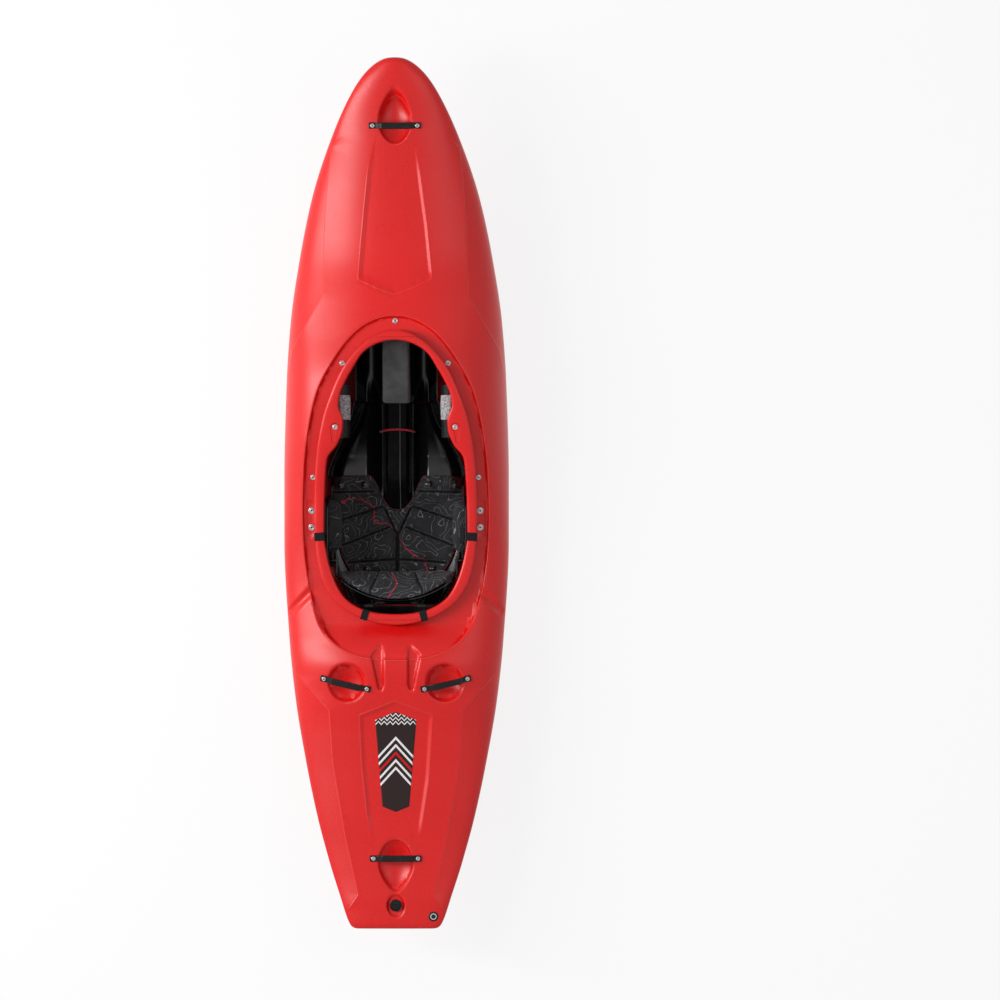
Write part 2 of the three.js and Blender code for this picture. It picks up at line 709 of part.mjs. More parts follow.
// Finger hollows under the grab handles
const bowHandleY = BOAT_LENGTH / 2 - BOW_HANDLE_INSET;
const sternHandleY = STERN_HANDLE_INSET - BOAT_LENGTH / 2;
function bowl([x, y], [across, along, deep]) {
  pressIn((wall) => {
    const ball = new THREE.SphereGeometry(1, BOWL_SEGMENTS, BOWL_RINGS);
    ball.rotateX(Math.PI / 2);
    ball.scale(across + wall, along + wall, deep + wall);
    return solidFrom(ball.translate(x, y, deckHeight(x, y)));
  });
}
bowl([0, bowHandleY + BOW_BOWL_SHIFT], [BOW_BOWL_WIDTH / 2, BOW_BOWL_LENGTH / 2, BOWL_DEPTH]);
bowl([0, sternHandleY + STERN_BOWL_SHIFT],
  [STERN_BOWL_WIDTH / 2, STERN_BOWL_LENGTH / 2, STERN_BOWL_DEPTH]);
for (const side of [1, -1]) {
  bowl([side * SIDE_HANDLE_X, SIDE_HANDLE_Y], [SIDE_BOWL_WIDTH / 2, SIDE_BOWL_WIDTH / 2, BOWL_DEPTH]);
}

// Grooves in the deck: the wedges behind the cockpit and the drain slashes beside it
function groove(start, end, startWidth, endWidth, deep) {
  const along = new THREE.Vector2(end[0] - start[0], end[1] - start[1]).normalize();
  const corner = ([x, y], half) => [x - along.y * half, y + along.x * half];
  const outline = [
    corner(start, startWidth / 2), corner(end, endWidth / 2),
    corner(end, -endWidth / 2), corner(start, -startWidth / 2),
  ];
  pressIn((wall) => column(
    grown(outline, wall), (x, y) => deckHeight(x, y) - deep - wall, CUT_TOP, grooveRingShares));
}
for (const side of [1, -1]) {
  groove([side * WEDGE_X, WEDGE_START], [side * WEDGE_X, WEDGE_START - WEDGE_LENGTH],
    WEDGE_WIDTH, WEDGE_WIDTH, WEDGE_DEPTH);
  const [fromX, toX] = [side * SLASH_X, side * (SLASH_X + SLASH_REACH)];
  const ends = [[fromX, SLASH_Y], [toX, SLASH_Y - SLASH_REACH]];
  groove(ends[0], ends[1], SLASH_WIDTH, SLASH_WIDTH, SLASH_DEPTH);
}

// The flat seat of the drain plug
const drainY = DRAIN_INSET - BOAT_LENGTH / 2;
const drainZ = deckHeight(0, drainY) - DRAIN_RECESS_DEPTH;
const drainOutline = Array.from({ length: DRAIN_SIDES }, (_, i) => {
  const turn = (-2 * Math.PI * i) / DRAIN_SIDES;
  const [across, along] = [DRAIN_RECESS_WIDTH / 2, DRAIN_RECESS_LENGTH / 2];
  return [across * Math.cos(turn), drainY + along * Math.sin(turn)];
});
pressIn((wall) => column(grown(drainOutline, wall), () => drainZ - wall, CUT_TOP, grooveRingShares));

const shell = outside.subtract(inside);

// Everything above the sheer, where the two halves of the mould meet
function aboveSheer(lift) {
  const ends = [-OVERRUN, BOAT_LENGTH + OVERRUN].map((s) => s / BOAT_LENGTH);
  const between = stationShares.filter((s) => s !== CAVITY_START_SHARE && s !== CAVITY_END_SHARE);
  const rings = [ends[0], ...between, ends[1]].map((share) => {
    const low = sheerZ(Math.min(1, Math.max(0, share))) + lift;
    const half = BOAT_BEAM / 2 + OVERRUN;
    const corners = [[-half, low], [half, low], [half, CUT_TOP], [-half, CUT_TOP]];
    return corners.map(([x, z]) => at(x, yOf(share), z));
  });
  return loft(rings);
}
let deck = largest(shell.intersect(aboveSheer(CLEARANCE / 2)));
let hull = largest(shell.subtract(aboveSheer(-CLEARANCE / 2)));

// Cockpit rim: a wall that stands in the deck's opening, and a lip that turns out over the trough
const openingOutline = outlineOf(
  openingHalfShares, OPENING_LENGTH, OPENING_WIDTH, OPENING_FRONT, RIM_STEPS);
const rimOutline = outlineOf(rimHalfShares, RIM_LENGTH, RIM_WIDTH, RIM_FRONT, RIM_STEPS);
const rimStations = openingOutline.map(([x, y], i) => {
  const [dx, dy] = [rimOutline[i][0] - x, rimOutline[i][1] - y];
  const width = Math.hypot(dx, dy);
  return { width, plan: (u) => [x + (dx / width) * u, y + (dy / width) * u] };
});
function cockpitRim() {
  return loop(rimStations.map(({ width, plan }) => {
    const under = (u, drop) => at(...plan(u), rimTopZ(plan(u)[1]) - drop);
    const foot = (u) => at(...plan(u), troughFloor(...plan(u)) - SHELL_WALL);
    const inner = width - SHELL_WALL;
    return [
      foot(0), under(0, RIM_ROUND), under(RIM_ROUND, 0), under(width - RIM_ROUND, 0),
      under(width, RIM_ROUND), under(width, LIP_DROP), under(inner, LIP_DROP),
      under(inner, LIP_THICKNESS), under(SHELL_WALL, LIP_THICKNESS), foot(SHELL_WALL),
    ];
  }));
}
let rim = cockpitRim();
const deckOpening = rimStations.map(({ plan }) => plan(SHELL_WALL + CLEARANCE));
deck = deck.subtract(column(deckOpening, () => 0, CUT_TOP, troughRingShares));

// Fasteners: an axis points out of the surface that the head sits on
const boltProfile = ({ head, rise, shank, length }) => [
  [0, -length], [shank, -length], [shank, 0], [head, 0], [head, rise / 2],
  [head * headTopShare, rise], [0, rise],
];
function boltAt(point, axis, size) {
  return solidFrom(turnedTo(lathed(boltProfile(size), BOLT_SIDES), point, axis));
}
function drillAt(point, axis, radius, reach, sides = BOLT_SIDES) {
  const profile = [[0, -reach], [radius, -reach], [radius, reach], [0, reach]];
  return solidFrom(turnedTo(lathed(profile, sides), point, axis));
}
function slotAt(point, axis, radius, reach, travel) {
  const along = travel.clone().normalize();
  const across = axis.clone().cross(along);
  const ringAtHeight = (height) => Array.from({ length: SLOT_SIDES }, (_, i) => {
    const turn = ((i + 1 / 2) * 2 * Math.PI) / SLOT_SIDES;
    const end = Math.sign(Math.cos(turn));
    const [a, b] = [radius * Math.cos(turn), radius * Math.sin(turn)];
    return point.clone().addScaledVector(axis, height).addScaledVector(travel, end)
      .addScaledVector(along, a).addScaledVector(across, b);
  });
  return loft([ringAtHeight(-reach), ringAtHeight(reach)]);
}
function restingOn(piece, support, direction) {
  const moved = support.translate(direction.clone().multiplyScalar(CLEARANCE).toArray());
  return largest(piece.subtract(moved));
}
const UP = at(0, 0, 1);
const DOWN = at(0, 0, -1);

// Screws and bolts whose heads sit on the floor of the trough
function floorNormal(x, y) {
  const step = SURFACE_STEP;
  const slopeX = (troughFloor(x + step, y) - troughFloor(x - step, y)) / (2 * step);
  const slopeY = (troughFloor(x, y + step) - troughFloor(x, y - step)) / (2 * step);
  return at(-slopeX, -slopeY, 1).normalize();
}
function throughTrough(name, x, y, size) {
  const [point, axis] = [at(x, y, troughFloor(x, y) + size.gap), floorNormal(x, y)];
  deck = deck.subtract(drillAt(point, axis, size.shank + CLEARANCE, size.length + OVERRUN));
  addPiece(name, boltAt(point, axis, size), STEEL);
  return { point, axis };
}
const rimScrew = {
  head: RIM_SCREW_HEAD / 2, rise: SCREW_RISE, shank: SCREW_SHANK / 2, length: SCREW_LENGTH,
  gap: HEAD_GAP,
};
throughTrough("rim_screw_front", 0, RIM_SCREW_FRONT_Y, rimScrew);
const sides = [["starboard", 1], ["port", -1]];
for (const [name, side] of sides) {
  throughTrough(`rim_screw_knee_${name}`, side * KNEE_SCREW_X, KNEE_SCREW_Y, rimScrew);
  throughTrough(`rim_screw_hip_${name}`, side * HIP_SCREW_X, HIP_SCREW_Y, rimScrew);
}

// Seat brackets: bolted up under the trough, each with a web that a cheek of the seat slides along
function slopedExtrusion(profile, middleY, length, rise) {
  const lean = rise(middleY);
  const shape = new THREE.Shape(profile.map(([x, z]) => new THREE.Vector2(x, z)));
  const geometry = new THREE.ExtrudeGeometry(shape, { depth: length, bevelEnabled: false, steps: 1 });
  const position = geometry.attributes.position;
  for (let i = 0; i < position.count; i++) {
    const [x, z, along] = [position.getX(i), position.getY(i), position.getZ(i) - length / 2];
    position.setXYZ(i, x, middleY + along, z + along * lean);
  }
  return solidFrom(geometry);
}
const deckSlope = (y) => (rimTopZ(y + SURFACE_STEP) - rimTopZ(y - SURFACE_STEP)) / (2 * SURFACE_STEP);
const cheekOuter = CHEEK_SPREAD / 2 + PAN_WALL;
function seatBracket(side) {
  const middle = (SEAT_BOLT_FRONT_Y + SEAT_BOLT_REAR_Y) / 2;
  const webInner = cheekOuter + CLEARANCE;
  const webOuter = webInner + BRACKET_WALL;
  const end = SEAT_BOLT_X + BRACKET_LAP;
  const under = (x) => troughFloor(x, middle) - SHELL_WALL - BRACKET_GAP;
  const profile = [
    [webInner, BRACKET_FOOT_Z], [webOuter, BRACKET_FOOT_Z],
    [webOuter, under(webOuter) - BRACKET_WALL], [end, under(end) - BRACKET_WALL],
    [end, under(end)], [webInner, under(webInner)],
  ].map(([x, z]) => [side * x, z]);
  return slopedExtrusion(profile, middle, BRACKET_LENGTH, deckSlope);
}
const seatBolt = {
  head: SEAT_BOLT_HEAD / 2, rise: SEAT_BOLT_RISE, shank: SEAT_BOLT_SHANK / 2,
  length: SEAT_BOLT_LENGTH, gap: WASHER_GAP,
};
for (const [name, side] of sides) {
  const holes = [["front", SEAT_BOLT_FRONT_Y], ["rear", SEAT_BOLT_REAR_Y]].map(([end, y]) => {
    const bolt = `seat_bolt_${end}_${name}`;
    const { point, axis } = throughTrough(bolt, side * SEAT_BOLT_X, y, seatBolt);
    return drillAt(point, axis, seatBolt.shank + CLEARANCE, seatBolt.length + OVERRUN);
  });
  const bracket = holes.reduce((solid, hole) => solid.subtract(hole), seatBracket(side));
  addPiece(`seat_bracket_${name}`, bracket, BLACK_PLASTIC);
}

// Thigh braces: a curved hook under the deck on each side, on one bolt through a slot
const braceUnder = (x) => troughFloor(x, BRACE_BOLT_Y) - SHELL_WALL - BRACE_DROP;
const braceLine = [
  [BRACE_HOOK_X, -BRACE_HOOK_DROP], [BRACE_EDGE_X, -BRACE_HOOK_DROP * braceEdgeShare],
  [BRACE_EDGE_X + BRACE_ROUND, 0], [BRACE_OUTER_X - BRACE_ROUND, 0],
  [BRACE_OUTER_X, -BRACE_OUTER_DROP * braceEdgeShare], [BRACE_OUTER_X, -BRACE_OUTER_DROP],
];
const padLine = braceLine.slice(2, 4).map(([x, z]) => [x, z - BRACE_WALL - CLEARANCE]);
function lineProfile(side, line, thickness) {
  const bottom = line.map(([x, z], i) => {
    const [px, pz] = line[Math.max(0, i - 1)];
    const [nx, nz] = line[Math.min(line.length - 1, i + 1)];
    const length = Math.hypot(nx - px, nz - pz);
    return [x + ((nz - pz) / length) * thickness, z - ((nx - px) / length) * thickness];
  });
  return [...line, ...bottom.reverse()].map(([x, z]) => [side * x, z + braceUnder(BRACE_BOLT_X)]);
}
const braceBolt = {
  head: BRACE_BOLT_HEAD / 2, rise: SCREW_RISE, shank: BRACE_BOLT_SHANK / 2,
  length: BRACE_BOLT_LENGTH,
};
for (const [name, side] of sides) {
  const point = at(side * BRACE_BOLT_X, BRACE_BOLT_Y, rimTopZ(BRACE_BOLT_Y) + HEAD_GAP);
  const lean = deckSlope(BRACE_BOLT_Y);
  const axis = at(0, -lean, 1).normalize();
  const drill = drillAt(point, axis, braceBolt.shank + CLEARANCE, braceBolt.length + OVERRUN);
  rim = rim.subtract(drill);
  deck = deck.subtract(drill);
  addPiece(`thigh_brace_bolt_${name}`, boltAt(point, axis, braceBolt), STEEL);
  const slotStep = at(0, BRACE_TRAVEL, BRACE_TRAVEL * lean);
  const slot = slotAt(point, axis, braceBolt.shank + CLEARANCE, braceBolt.length + OVERRUN, slotStep);
  const middle = BRACE_BOLT_Y + BRACE_AHEAD;
  const lift = BRACE_AHEAD * lean;
  const make = (line, thickness) =>
    slopedExtrusion(lineProfile(side, line, thickness), middle, BRACE_LENGTH, () => lean)
      .translate([0, 0, lift]).subtract(slot);
  const brace = make(braceLine, BRACE_WALL);
  addPiece(`thigh_brace_${name}`, brace, BLACK_PLASTIC);
  addPiece(`thigh_pad_${name}`, restingOn(make(padLine, THIGH_PAD_THICKNESS), brace, DOWN), PAD_FABRIC);
}

// Grab handles: two pads on the deck and a raised bar between them, on a bolt at each end
const handleStations = (() => {
  const [end, bolt, rise] = [HANDLE_LENGTH / 2, HANDLE_BOLT_SPACING / 2, HANDLE_RISE_SPAN / 2];
  const pad = bolt - (end - bolt);
  const half = [
    [rise, HANDLE_ARCH, HANDLE_ARCH + HANDLE_THICKNESS, 1], [pad, HANDLE_GAP, HANDLE_PAD, 1],
    [end - HANDLE_ROUND, HANDLE_GAP, HANDLE_PAD, 1],
    [end, HANDLE_GAP, HANDLE_PAD - HANDLE_ROUND, handleEndShare],
  ];
  return [...half.map(([t, ...rest]) => [-t, ...rest]).reverse(), ...half];
})();
const handleBolt = {
  head: HANDLE_BOLT_HEAD / 2, rise: SCREW_RISE, shank: HANDLE_BOLT_SHANK / 2,
  length: HANDLE_BOLT_LENGTH,
};
function grabHandle(name, x, y, angle) {
  const plan = new THREE.Vector2(Math.cos(angle), Math.sin(angle));
  const onDeck = (t, n) => {
    const [px, py] = [x + plan.x * t - plan.y * n, y + plan.y * t + plan.x * n];
    return at(px, py, deckHeight(px, py));
  };
  const reach = HANDLE_BOLT_SPACING / 2;
  const [a, b] = [onDeck(-reach, 0), onDeck(reach, 0)];
  const along = b.clone().sub(a).normalize();
  const across = onDeck(reach, HANDLE_WIDTH).sub(onDeck(reach, -HANDLE_WIDTH));
  across.add(onDeck(-reach, HANDLE_WIDTH)).sub(onDeck(-reach, -HANDLE_WIDTH));
  const up = along.clone().cross(across).normalize();
  const frame = new THREE.Matrix4().makeBasis(along, up.clone().cross(along), up);
  frame.setPosition(a.clone().add(b).divideScalar(2));
  const rings = handleStations.map(([t, low, high, width]) => {
    const [w, r] = [(HANDLE_WIDTH / 2) * width, HANDLE_ROUND];
    const above = [[w, high - r], [w - r, high], [r - w, high], [-w, high - r]];
    const below = [[-w, low + r / 2], [r - w, low], [w - r, low], [w, low + r / 2]];
    return [
      ...above.map(([n, h]) => at(t, n, h).applyMatrix4(frame)),
      ...below.map(([n, h]) => onDeck(t, n).addScaledVector(up, h)),
    ];
  });
  let bar = loft(rings);
  for (const [end, t] of [["a", -reach], ["b", reach]]) {
    const point = at(t, 0, HANDLE_PAD + CLEARANCE).applyMatrix4(frame);
    const drill = drillAt(point, up, handleBolt.shank + CLEARANCE, handleBolt.length + OVERRUN);
    bar = bar.subtract(drill);
    deck = deck.subtract(drill);
    addPiece(`${name}_handle_bolt_${end}`, boltAt(point, up, handleBolt), STEEL);
  }
  addPiece(`${name}_grab_handle`, bar, HANDLE_BLACK);
}
grabHandle("bow", 0, bowHandleY, 0);
grabHandle("stern", 0, sternHandleY, 0);
for (const [name, side] of sides) {
  grabHandle(name, side * SIDE_HANDLE_X, SIDE_HANDLE_Y, side * SIDE_HANDLE_ANGLE);
}

// Drain: a flanged seat in the deck, its gasket, and the plug that screws down on it
const drainPoint = at(0, drainY, drainZ);
const drainRing = (profile) =>
  solidFrom(lathed(profile, DRAIN_SIDES).translate(0, drainY, drainZ + CLEARANCE));
const drainHole = DRAIN_SLEEVE + CLEARANCE;
deck = deck.subtract(drillAt(drainPoint, UP, drainHole, DRAIN_SLEEVE_LENGTH + OVERRUN, DRAIN_SIDES));
addPiece("drain_seat", drainRing([
  [DRAIN_BORE, -DRAIN_SLEEVE_LENGTH], [DRAIN_SLEEVE, -DRAIN_SLEEVE_LENGTH], [DRAIN_SLEEVE, 0],
  [DRAIN_FLANGE, 0], [DRAIN_FLANGE, DRAIN_FLANGE_THICKNESS], [DRAIN_BORE, DRAIN_FLANGE_THICKNESS],
  [DRAIN_BORE, -DRAIN_SLEEVE_LENGTH],
]), BLACK_PLASTIC);
const gasketLow = DRAIN_FLANGE_THICKNESS + CLEARANCE;
const gasketHigh = gasketLow + GASKET_THICKNESS;
addPiece("drain_gasket", drainRing([
  [DRAIN_BORE, gasketLow], [GASKET_RADIUS, gasketLow], [GASKET_RADIUS, gasketHigh],
  [DRAIN_BORE, gasketHigh], [DRAIN_BORE, gasketLow],
]), RUBBER);
const plugLow = gasketHigh + CLEARANCE;
const plugShank = DRAIN_BORE - CLEARANCE;
const plugBody = drainRing([
  [0, -DRAIN_SLEEVE_LENGTH], [plugShank, -DRAIN_SLEEVE_LENGTH], [plugShank, plugLow],
  [PLUG_RADIUS, plugLow], [PLUG_RADIUS, plugLow + PLUG_RIM], [0, plugLow + PLUG_RIM],
]);
const plugGrip = solidFrom(new THREE.BoxGeometry(PLUG_GRIP_LENGTH, PLUG_GRIP_WIDTH, PLUG_GRIP_HEIGHT)
  .translate(0, drainY, drainZ + plugLow + PLUG_RIM + PLUG_GRIP_HEIGHT / 2));
addPiece("drain_plug", plugBody.add(plugGrip), BLACK_PLASTIC);

// Bulkhead rails: flat bars along the inside of the hull, each on two bolts through its side
function railFrame(side) {
  const on = (y, z) => at(hullSide(y, z) - RAIL_SETBACK, y, z);
  const [aft, fore] = [on(RAIL_AFT_Y, RAIL_AFT_Z), on(RAIL_FRONT_Y, RAIL_FRONT_Z)];
  const along = fore.clone().sub(aft);
  const length = along.length();
  along.normalize();
  const [midY, midZ] = [(RAIL_AFT_Y + RAIL_FRONT_Y) / 2, (RAIL_AFT_Z + RAIL_FRONT_Z) / 2];
  const wall = hullSide(midY, midZ + SURFACE_STEP) - hullSide(midY, midZ - SURFACE_STEP);
  const out = along.clone().cross(at(wall, 0, 2 * SURFACE_STEP)).normalize();
  if (out.x < 0) out.negate();
  const middle = aft.clone().add(fore).divideScalar(2);
  for (const v of [aft, fore, along, out, middle]) v.x *= side;
  return { along, out, middle, length, up: out.clone().cross(along).multiplyScalar(side).normalize() };
}
function blockIn({ along, out, up }, centre, [lengthways, outwards, upwards]) {
  const geometry = new THREE.BoxGeometry(lengthways, outwards, upwards);
  const frame = new THREE.Matrix4().makeBasis(along, out, up).setPosition(centre);
  return solidFrom(geometry.applyMatrix4(frame));
}
const railBolt = {
  head: RAIL_BOLT_HEAD / 2, rise: SCREW_RISE, shank: RAIL_BOLT_SHANK / 2,
  length: RAIL_BOLT_LENGTH,
};
for (const [name, side] of sides) {
  const rail = railFrame(side);
  let bar = blockIn(rail, rail.middle, [rail.length, RAIL_THICKNESS, RAIL_WIDTH]);
  for (const [end, boltY] of [["front", RAIL_BOLT_FRONT_Y], ["rear", RAIL_BOLT_REAR_Y]]) {
    const way = (boltY - rail.middle.y) / rail.along.y;
    const point = rail.middle.clone().addScaledVector(rail.along, way);
    while (Math.abs(point.x) < hullSide(point.y, point.z)) point.addScaledVector(rail.out, MARCH_STEP);
    const drill = drillAt(point, rail.out, railBolt.shank + CLEARANCE, railBolt.length + OVERRUN);
    bar = bar.subtract(drill);
    hull = hull.subtract(drill);
    const bolt = restingOn(boltAt(point, rail.out, railBolt), hull, rail.out);
    addPiece(`rail_bolt_${end}_${name}`, bolt, STEEL);
  }
  const inwards = rail.out.clone().negate();
  bar = restingOn(bar, hull, inwards);
  addPiece(`bulkhead_rail_${name}`, bar, STEEL);

  // The bracket that runs on the rail and clamps the bulkhead
  const way = (BULKHEAD_Y - rail.middle.y) / rail.along.y;
  const seat = rail.middle.clone().addScaledVector(rail.along, way);
  const shoeOff = RAIL_THICKNESS / 2 + CLEARANCE + SHOE_THICKNESS / 2;
  const shoeAt = seat.clone().addScaledVector(rail.out, -shoeOff);
  const shoe = blockIn(rail, shoeAt, [SHOE_LENGTH, SHOE_THICKNESS, RAIL_WIDTH]);
  const tabEnd = BULKHEAD_WIDTH / 2 - TAB_LAP;
  const tabBack = BULKHEAD_WALL / 2 + CLEARANCE + TAB_THICKNESS;
  const lean = tabBack * rail.out.y + (TAB_HEIGHT / 2) * Math.abs(rail.out.z);
  const tabOuter = Math.abs(shoeAt.x) - (lean - SHOE_THICKNESS / 2) / Math.abs(rail.out.x);
  const tab = solidFrom(new THREE.BoxGeometry(tabOuter - tabEnd, TAB_THICKNESS, TAB_HEIGHT).translate(
    side * (tabOuter + tabEnd) / 2, BULKHEAD_Y + tabBack - TAB_THICKNESS / 2, shoeAt.z));
  addPiece(`bulkhead_bracket_${name}`, shoe.add(tab), BLACK_PLASTIC);
}

// Foot bulkhead: a stiff plate with a foam pad for the feet
function bulkheadSheet(width, low, high, thickness, y) {
  const shape = new THREE.Shape();
  const [half, r] = [width / 2, BULKHEAD_ROUND];
  shape.moveTo(-half * bulkheadFootShare, low);
  shape.lineTo(half * bulkheadFootShare, low);
  shape.lineTo(half, (low + high) / 2);
  shape.absarc(half - r, high - r, r, 0, Math.PI / 2);
  shape.absarc(r - half, high - r, r, Math.PI / 2, Math.PI);
  shape.lineTo(-half, (low + high) / 2);
  const geometry = new THREE.ExtrudeGeometry(shape, {
    depth: thickness, bevelEnabled: false, curveSegments: BULKHEAD_ROUND_STEPS,
  });
  return solidFrom(geometry.rotateX(Math.PI / 2).translate(0, y + thickness / 2, 0));
}
addPiece("foot_bulkhead", bulkheadSheet(
  BULKHEAD_WIDTH, BULKHEAD_LOW, BULKHEAD_HIGH, BULKHEAD_WALL, BULKHEAD_Y), BLACK_PLASTIC);
const footPadY = BULKHEAD_Y - BULKHEAD_WALL / 2 - CLEARANCE - FOOT_PAD_THICKNESS / 2;
addPiece("foot_pad", bulkheadSheet(
  BULKHEAD_WIDTH - 2 * FOOT_PAD_EDGE, BULKHEAD_LOW + FOOT_PAD_EDGE, BULKHEAD_HIGH - FOOT_PAD_EDGE,
  FOOT_PAD_THICKNESS, footPadY), GREY_FOAM);

// Seat pan: a thin moulding with a dished seat, a raised thigh rest, and a ridge up the middle
const panHalfCurve = curveThrough(panHalfShares);
const panAlong = (y) => (PAN_FRONT - y) / (PAN_FRONT - PAN_REAR);
const panHalf = (y) => (PAN_WIDTH / 2) * panHalfCurve(panAlong(y));
function panBase(y) {
  const keel = Math.max(keelZ(shareOf(y + SEAT_TRAVEL)), keelZ(shareOf(y - SEAT_TRAVEL)));
  const onFoot = y >= PAN_FOOT_REAR && y <= PAN_FOOT_FRONT;
  return keel + SHELL_WALL + CLEARANCE + PAN_WALL + (onFoot ? 0 : PAN_RELIEF);
}
function panTop(x, y) {
  const out = Math.abs(x) / panHalf(y);
  const edge = EDGE_RISE * ease(EDGE_FROM_SHARE, 1, out) * (1 - ease(THIGH_TOP, PAN_FRONT, y));
  const lobe = ease(RIDGE_HALF, THIGH_LOBE_X, Math.abs(x)) * (1 - ease(THIGH_EDGE_SHARE, 1, out) / 2);
  const thigh = THIGH_RISE * ease(THIGH_START, THIGH_TOP, y) * (1 - ease(THIGH_FALL, THIGH_END, y)) * lobe;
  const onRidge = 1 - ease(RIDGE_HALF - RIDGE_ROUND, RIDGE_HALF, Math.abs(x));
  const ridge = RIDGE_RISE * ease(RIDGE_START, RIDGE_FULL, y) * onRidge;
  return panBase(y) + Math.max(edge, thigh, ridge);
}
const panColumns = (y) => {
  const half = panHalf(y);
  const inner = [0, RIDGE_HALF - RIDGE_ROUND, RIDGE_HALF, RIDGE_HALF + RIDGE_ROUND];
  const start = inner.at(-1);
  const outer = panColumnShares.map((share) => start + (half - start) * share);
  const starboard = [...inner, ...outer];
  return [...starboard.slice(1).reverse().map((x) => -x), ...starboard];
};
const panGrid = (offset) => panRowShares.map((share) => {
  const y = PAN_FRONT - (PAN_FRONT - PAN_REAR) * share;
  return panColumns(y).map((x) => at(x, y, panTop(x, y) + offset));
});
let pan = plateBetween(panGrid(0), panGrid(-PAN_WALL));
const boxFrom = ([x0, y0, z0], [x1, y1, z1]) => solidFrom(
  new THREE.BoxGeometry(Math.abs(x1 - x0), y1 - y0, z1 - z0)
    .translate((x0 + x1) / 2, (y0 + y1) / 2, (z0 + z1) / 2));
const cheekInner = CHEEK_SPREAD / 2;
for (const [, side] of sides) {
  const cheek = boxFrom([side * cheekInner, CHEEK_REAR, CHEEK_FOOT],
    [side * cheekOuter, CHEEK_FRONT, CHEEK_TOP]);
  const shelf = boxFrom([side * CHEEK_SHELF, CHEEK_REAR, CHEEK_FOOT],
    [side * cheekOuter, CHEEK_FRONT, CHEEK_FOOT + SHELF_HEIGHT]);
  const boss = drillAt(at(side * (cheekInner - BOSS_LENGTH / 2), BAND_PIVOT_Y, BAND_PIVOT_Z),
    at(1, 0, 0), BOSS_RADIUS, BOSS_LENGTH / 2 + PAN_WALL / 2);
  pan = pan.add(cheek).add(shelf).add(boss);
}
pan = largest(pan);
addPiece("seat_pan", pan, BLACK_PLASTIC);
const overPan = plateBetween(panGrid(CLEARANCE), panGrid(-PAN_FILL));

// Seat cushion: crowned, with a notch at the front for the ridge, and sewn channels
const distanceTo = ([ax, ay], [bx, by], x, y) => {
  const [dx, dy] = [bx - ax, by - ay];
  const q = Math.min(1, Math.max(0, ((x - ax) * dx + (y - ay) * dy) / (dx * dx + dy * dy)));
  return Math.hypot(x - ax - q * dx, y - ay - q * dy);
};
const padLength = PAD_FRONT - PAD_REAR;
const padHalfCurve = curveThrough(padHalfShares);
const padPlace = ([xShare, yShare]) => [xShare * (PAD_WIDTH / 2), PAD_FRONT - yShare * padLength];
const channels = channelShares.map((line) => line.map(padPlace));
function padFrontEdge(x) {
  const q = Math.min(1, Math.abs(x) / NOTCH_HALF);
  return PAD_FRONT - NOTCH_DEPTH * (1 - q ** NOTCH_POWER);
}
function padTop(x, y, edgeShare) {
  const crown = PAD_THICKNESS * (1 - edgeShare ** PAD_CROWN_POWER) ** (1 / 2);
  let groove = 0;
  for (const [a, b] of channels) {
    const away = distanceTo(a, b, Math.abs(x), y);
    groove = Math.max(groove, 1 - ease(0, CHANNEL_WIDTH, away));
  }
  return panTop(x, y) + CLEARANCE + PAD_EDGE + crown - CHANNEL_DEPTH * groove * (1 - edgeShare);
}
function seatPad() {
  const grid = (height) => padRowShares.map((row) => padColumnShares.map((column) => {
    const half = (PAD_WIDTH / 2) * padHalfCurve(row);
    const x = half * column;
    const front = padFrontEdge(x);
    const y = front - (front - PAD_REAR) * row;
    const edge = Math.max(Math.abs(column), Math.abs(2 * row - 1));
    return at(x, y, height(x, y, edge));
  }));
  const solid = plateBetween(grid(padTop), grid((x, y) => panTop(x, y) - PAD_SINK));
  return largest(solid.subtract(overPan).subtract(pan));
}
const pad = seatPad();
addPiece("seat_pad", pad, PAD_FABRIC);

// Hip pads: crowned blocks on the inner faces of the cheeks
function hipPad(side) {
  const rings = hipPadShares.map(([depth, size]) => {
    const x = side * (cheekInner - CLEARANCE - HIP_PAD_THICKNESS * depth);
    return Array.from({ length: HIP_PAD_SIDES }, (_, i) => {
      const turn = (2 * Math.PI * i) / HIP_PAD_SIDES;
      const square = (v) => Math.sign(v) * Math.abs(v) ** (1 / 2);
      return at(x, HIP_PAD_Y + (HIP_PAD_LENGTH / 2) * size * square(Math.cos(turn)),
        HIP_PAD_Z + (HIP_PAD_HEIGHT / 2) * size * square(Math.sin(turn)));
    });
  });
  return largest(loft(rings).subtract(overPan).subtract(pad.translate([0, 0, CLEARANCE])));
}
for (const [name, side] of sides) addPiece(`hip_pad_${name}`, hipPad(side), PAD_FABRIC);

// The cord over the ridge
const ridgeTop = panTop(0, CORD_Y);
const cordHalf = [
  [0, CORD_LIFT], [RIDGE_HALF - 2 * RIDGE_ROUND, CORD_LIFT], [RIDGE_HALF - RIDGE_ROUND / 2, CORD_LIFT / 2],
  [CORD_REACH, -CORD_DROP / 2], [CORD_REACH, -CORD_DROP],
];
const cordRoute = [...cordHalf.slice(1).map(([x, z]) => [-x, z]).reverse(), ...cordHalf];
const cordPath = new THREE.CatmullRomCurve3(cordRoute.map(([x, z]) => at(x, CORD_Y, ridgeTop + z)));
const cordSection = new THREE.Shape(Array.from({ length: CORD_SIDES }, (_, i) => {
  const turn = (2 * Math.PI * i) / CORD_SIDES;
  return new THREE.Vector2(CORD_RADIUS * Math.cos(turn), CORD_RADIUS * Math.sin(turn));
}));
const cordTube = new THREE.ExtrudeGeometry(cordSection, { steps: CORD_STEPS, extrudePath: cordPath });
addPiece("lifter_cord", solidFrom(cordTube), RED_CORD);

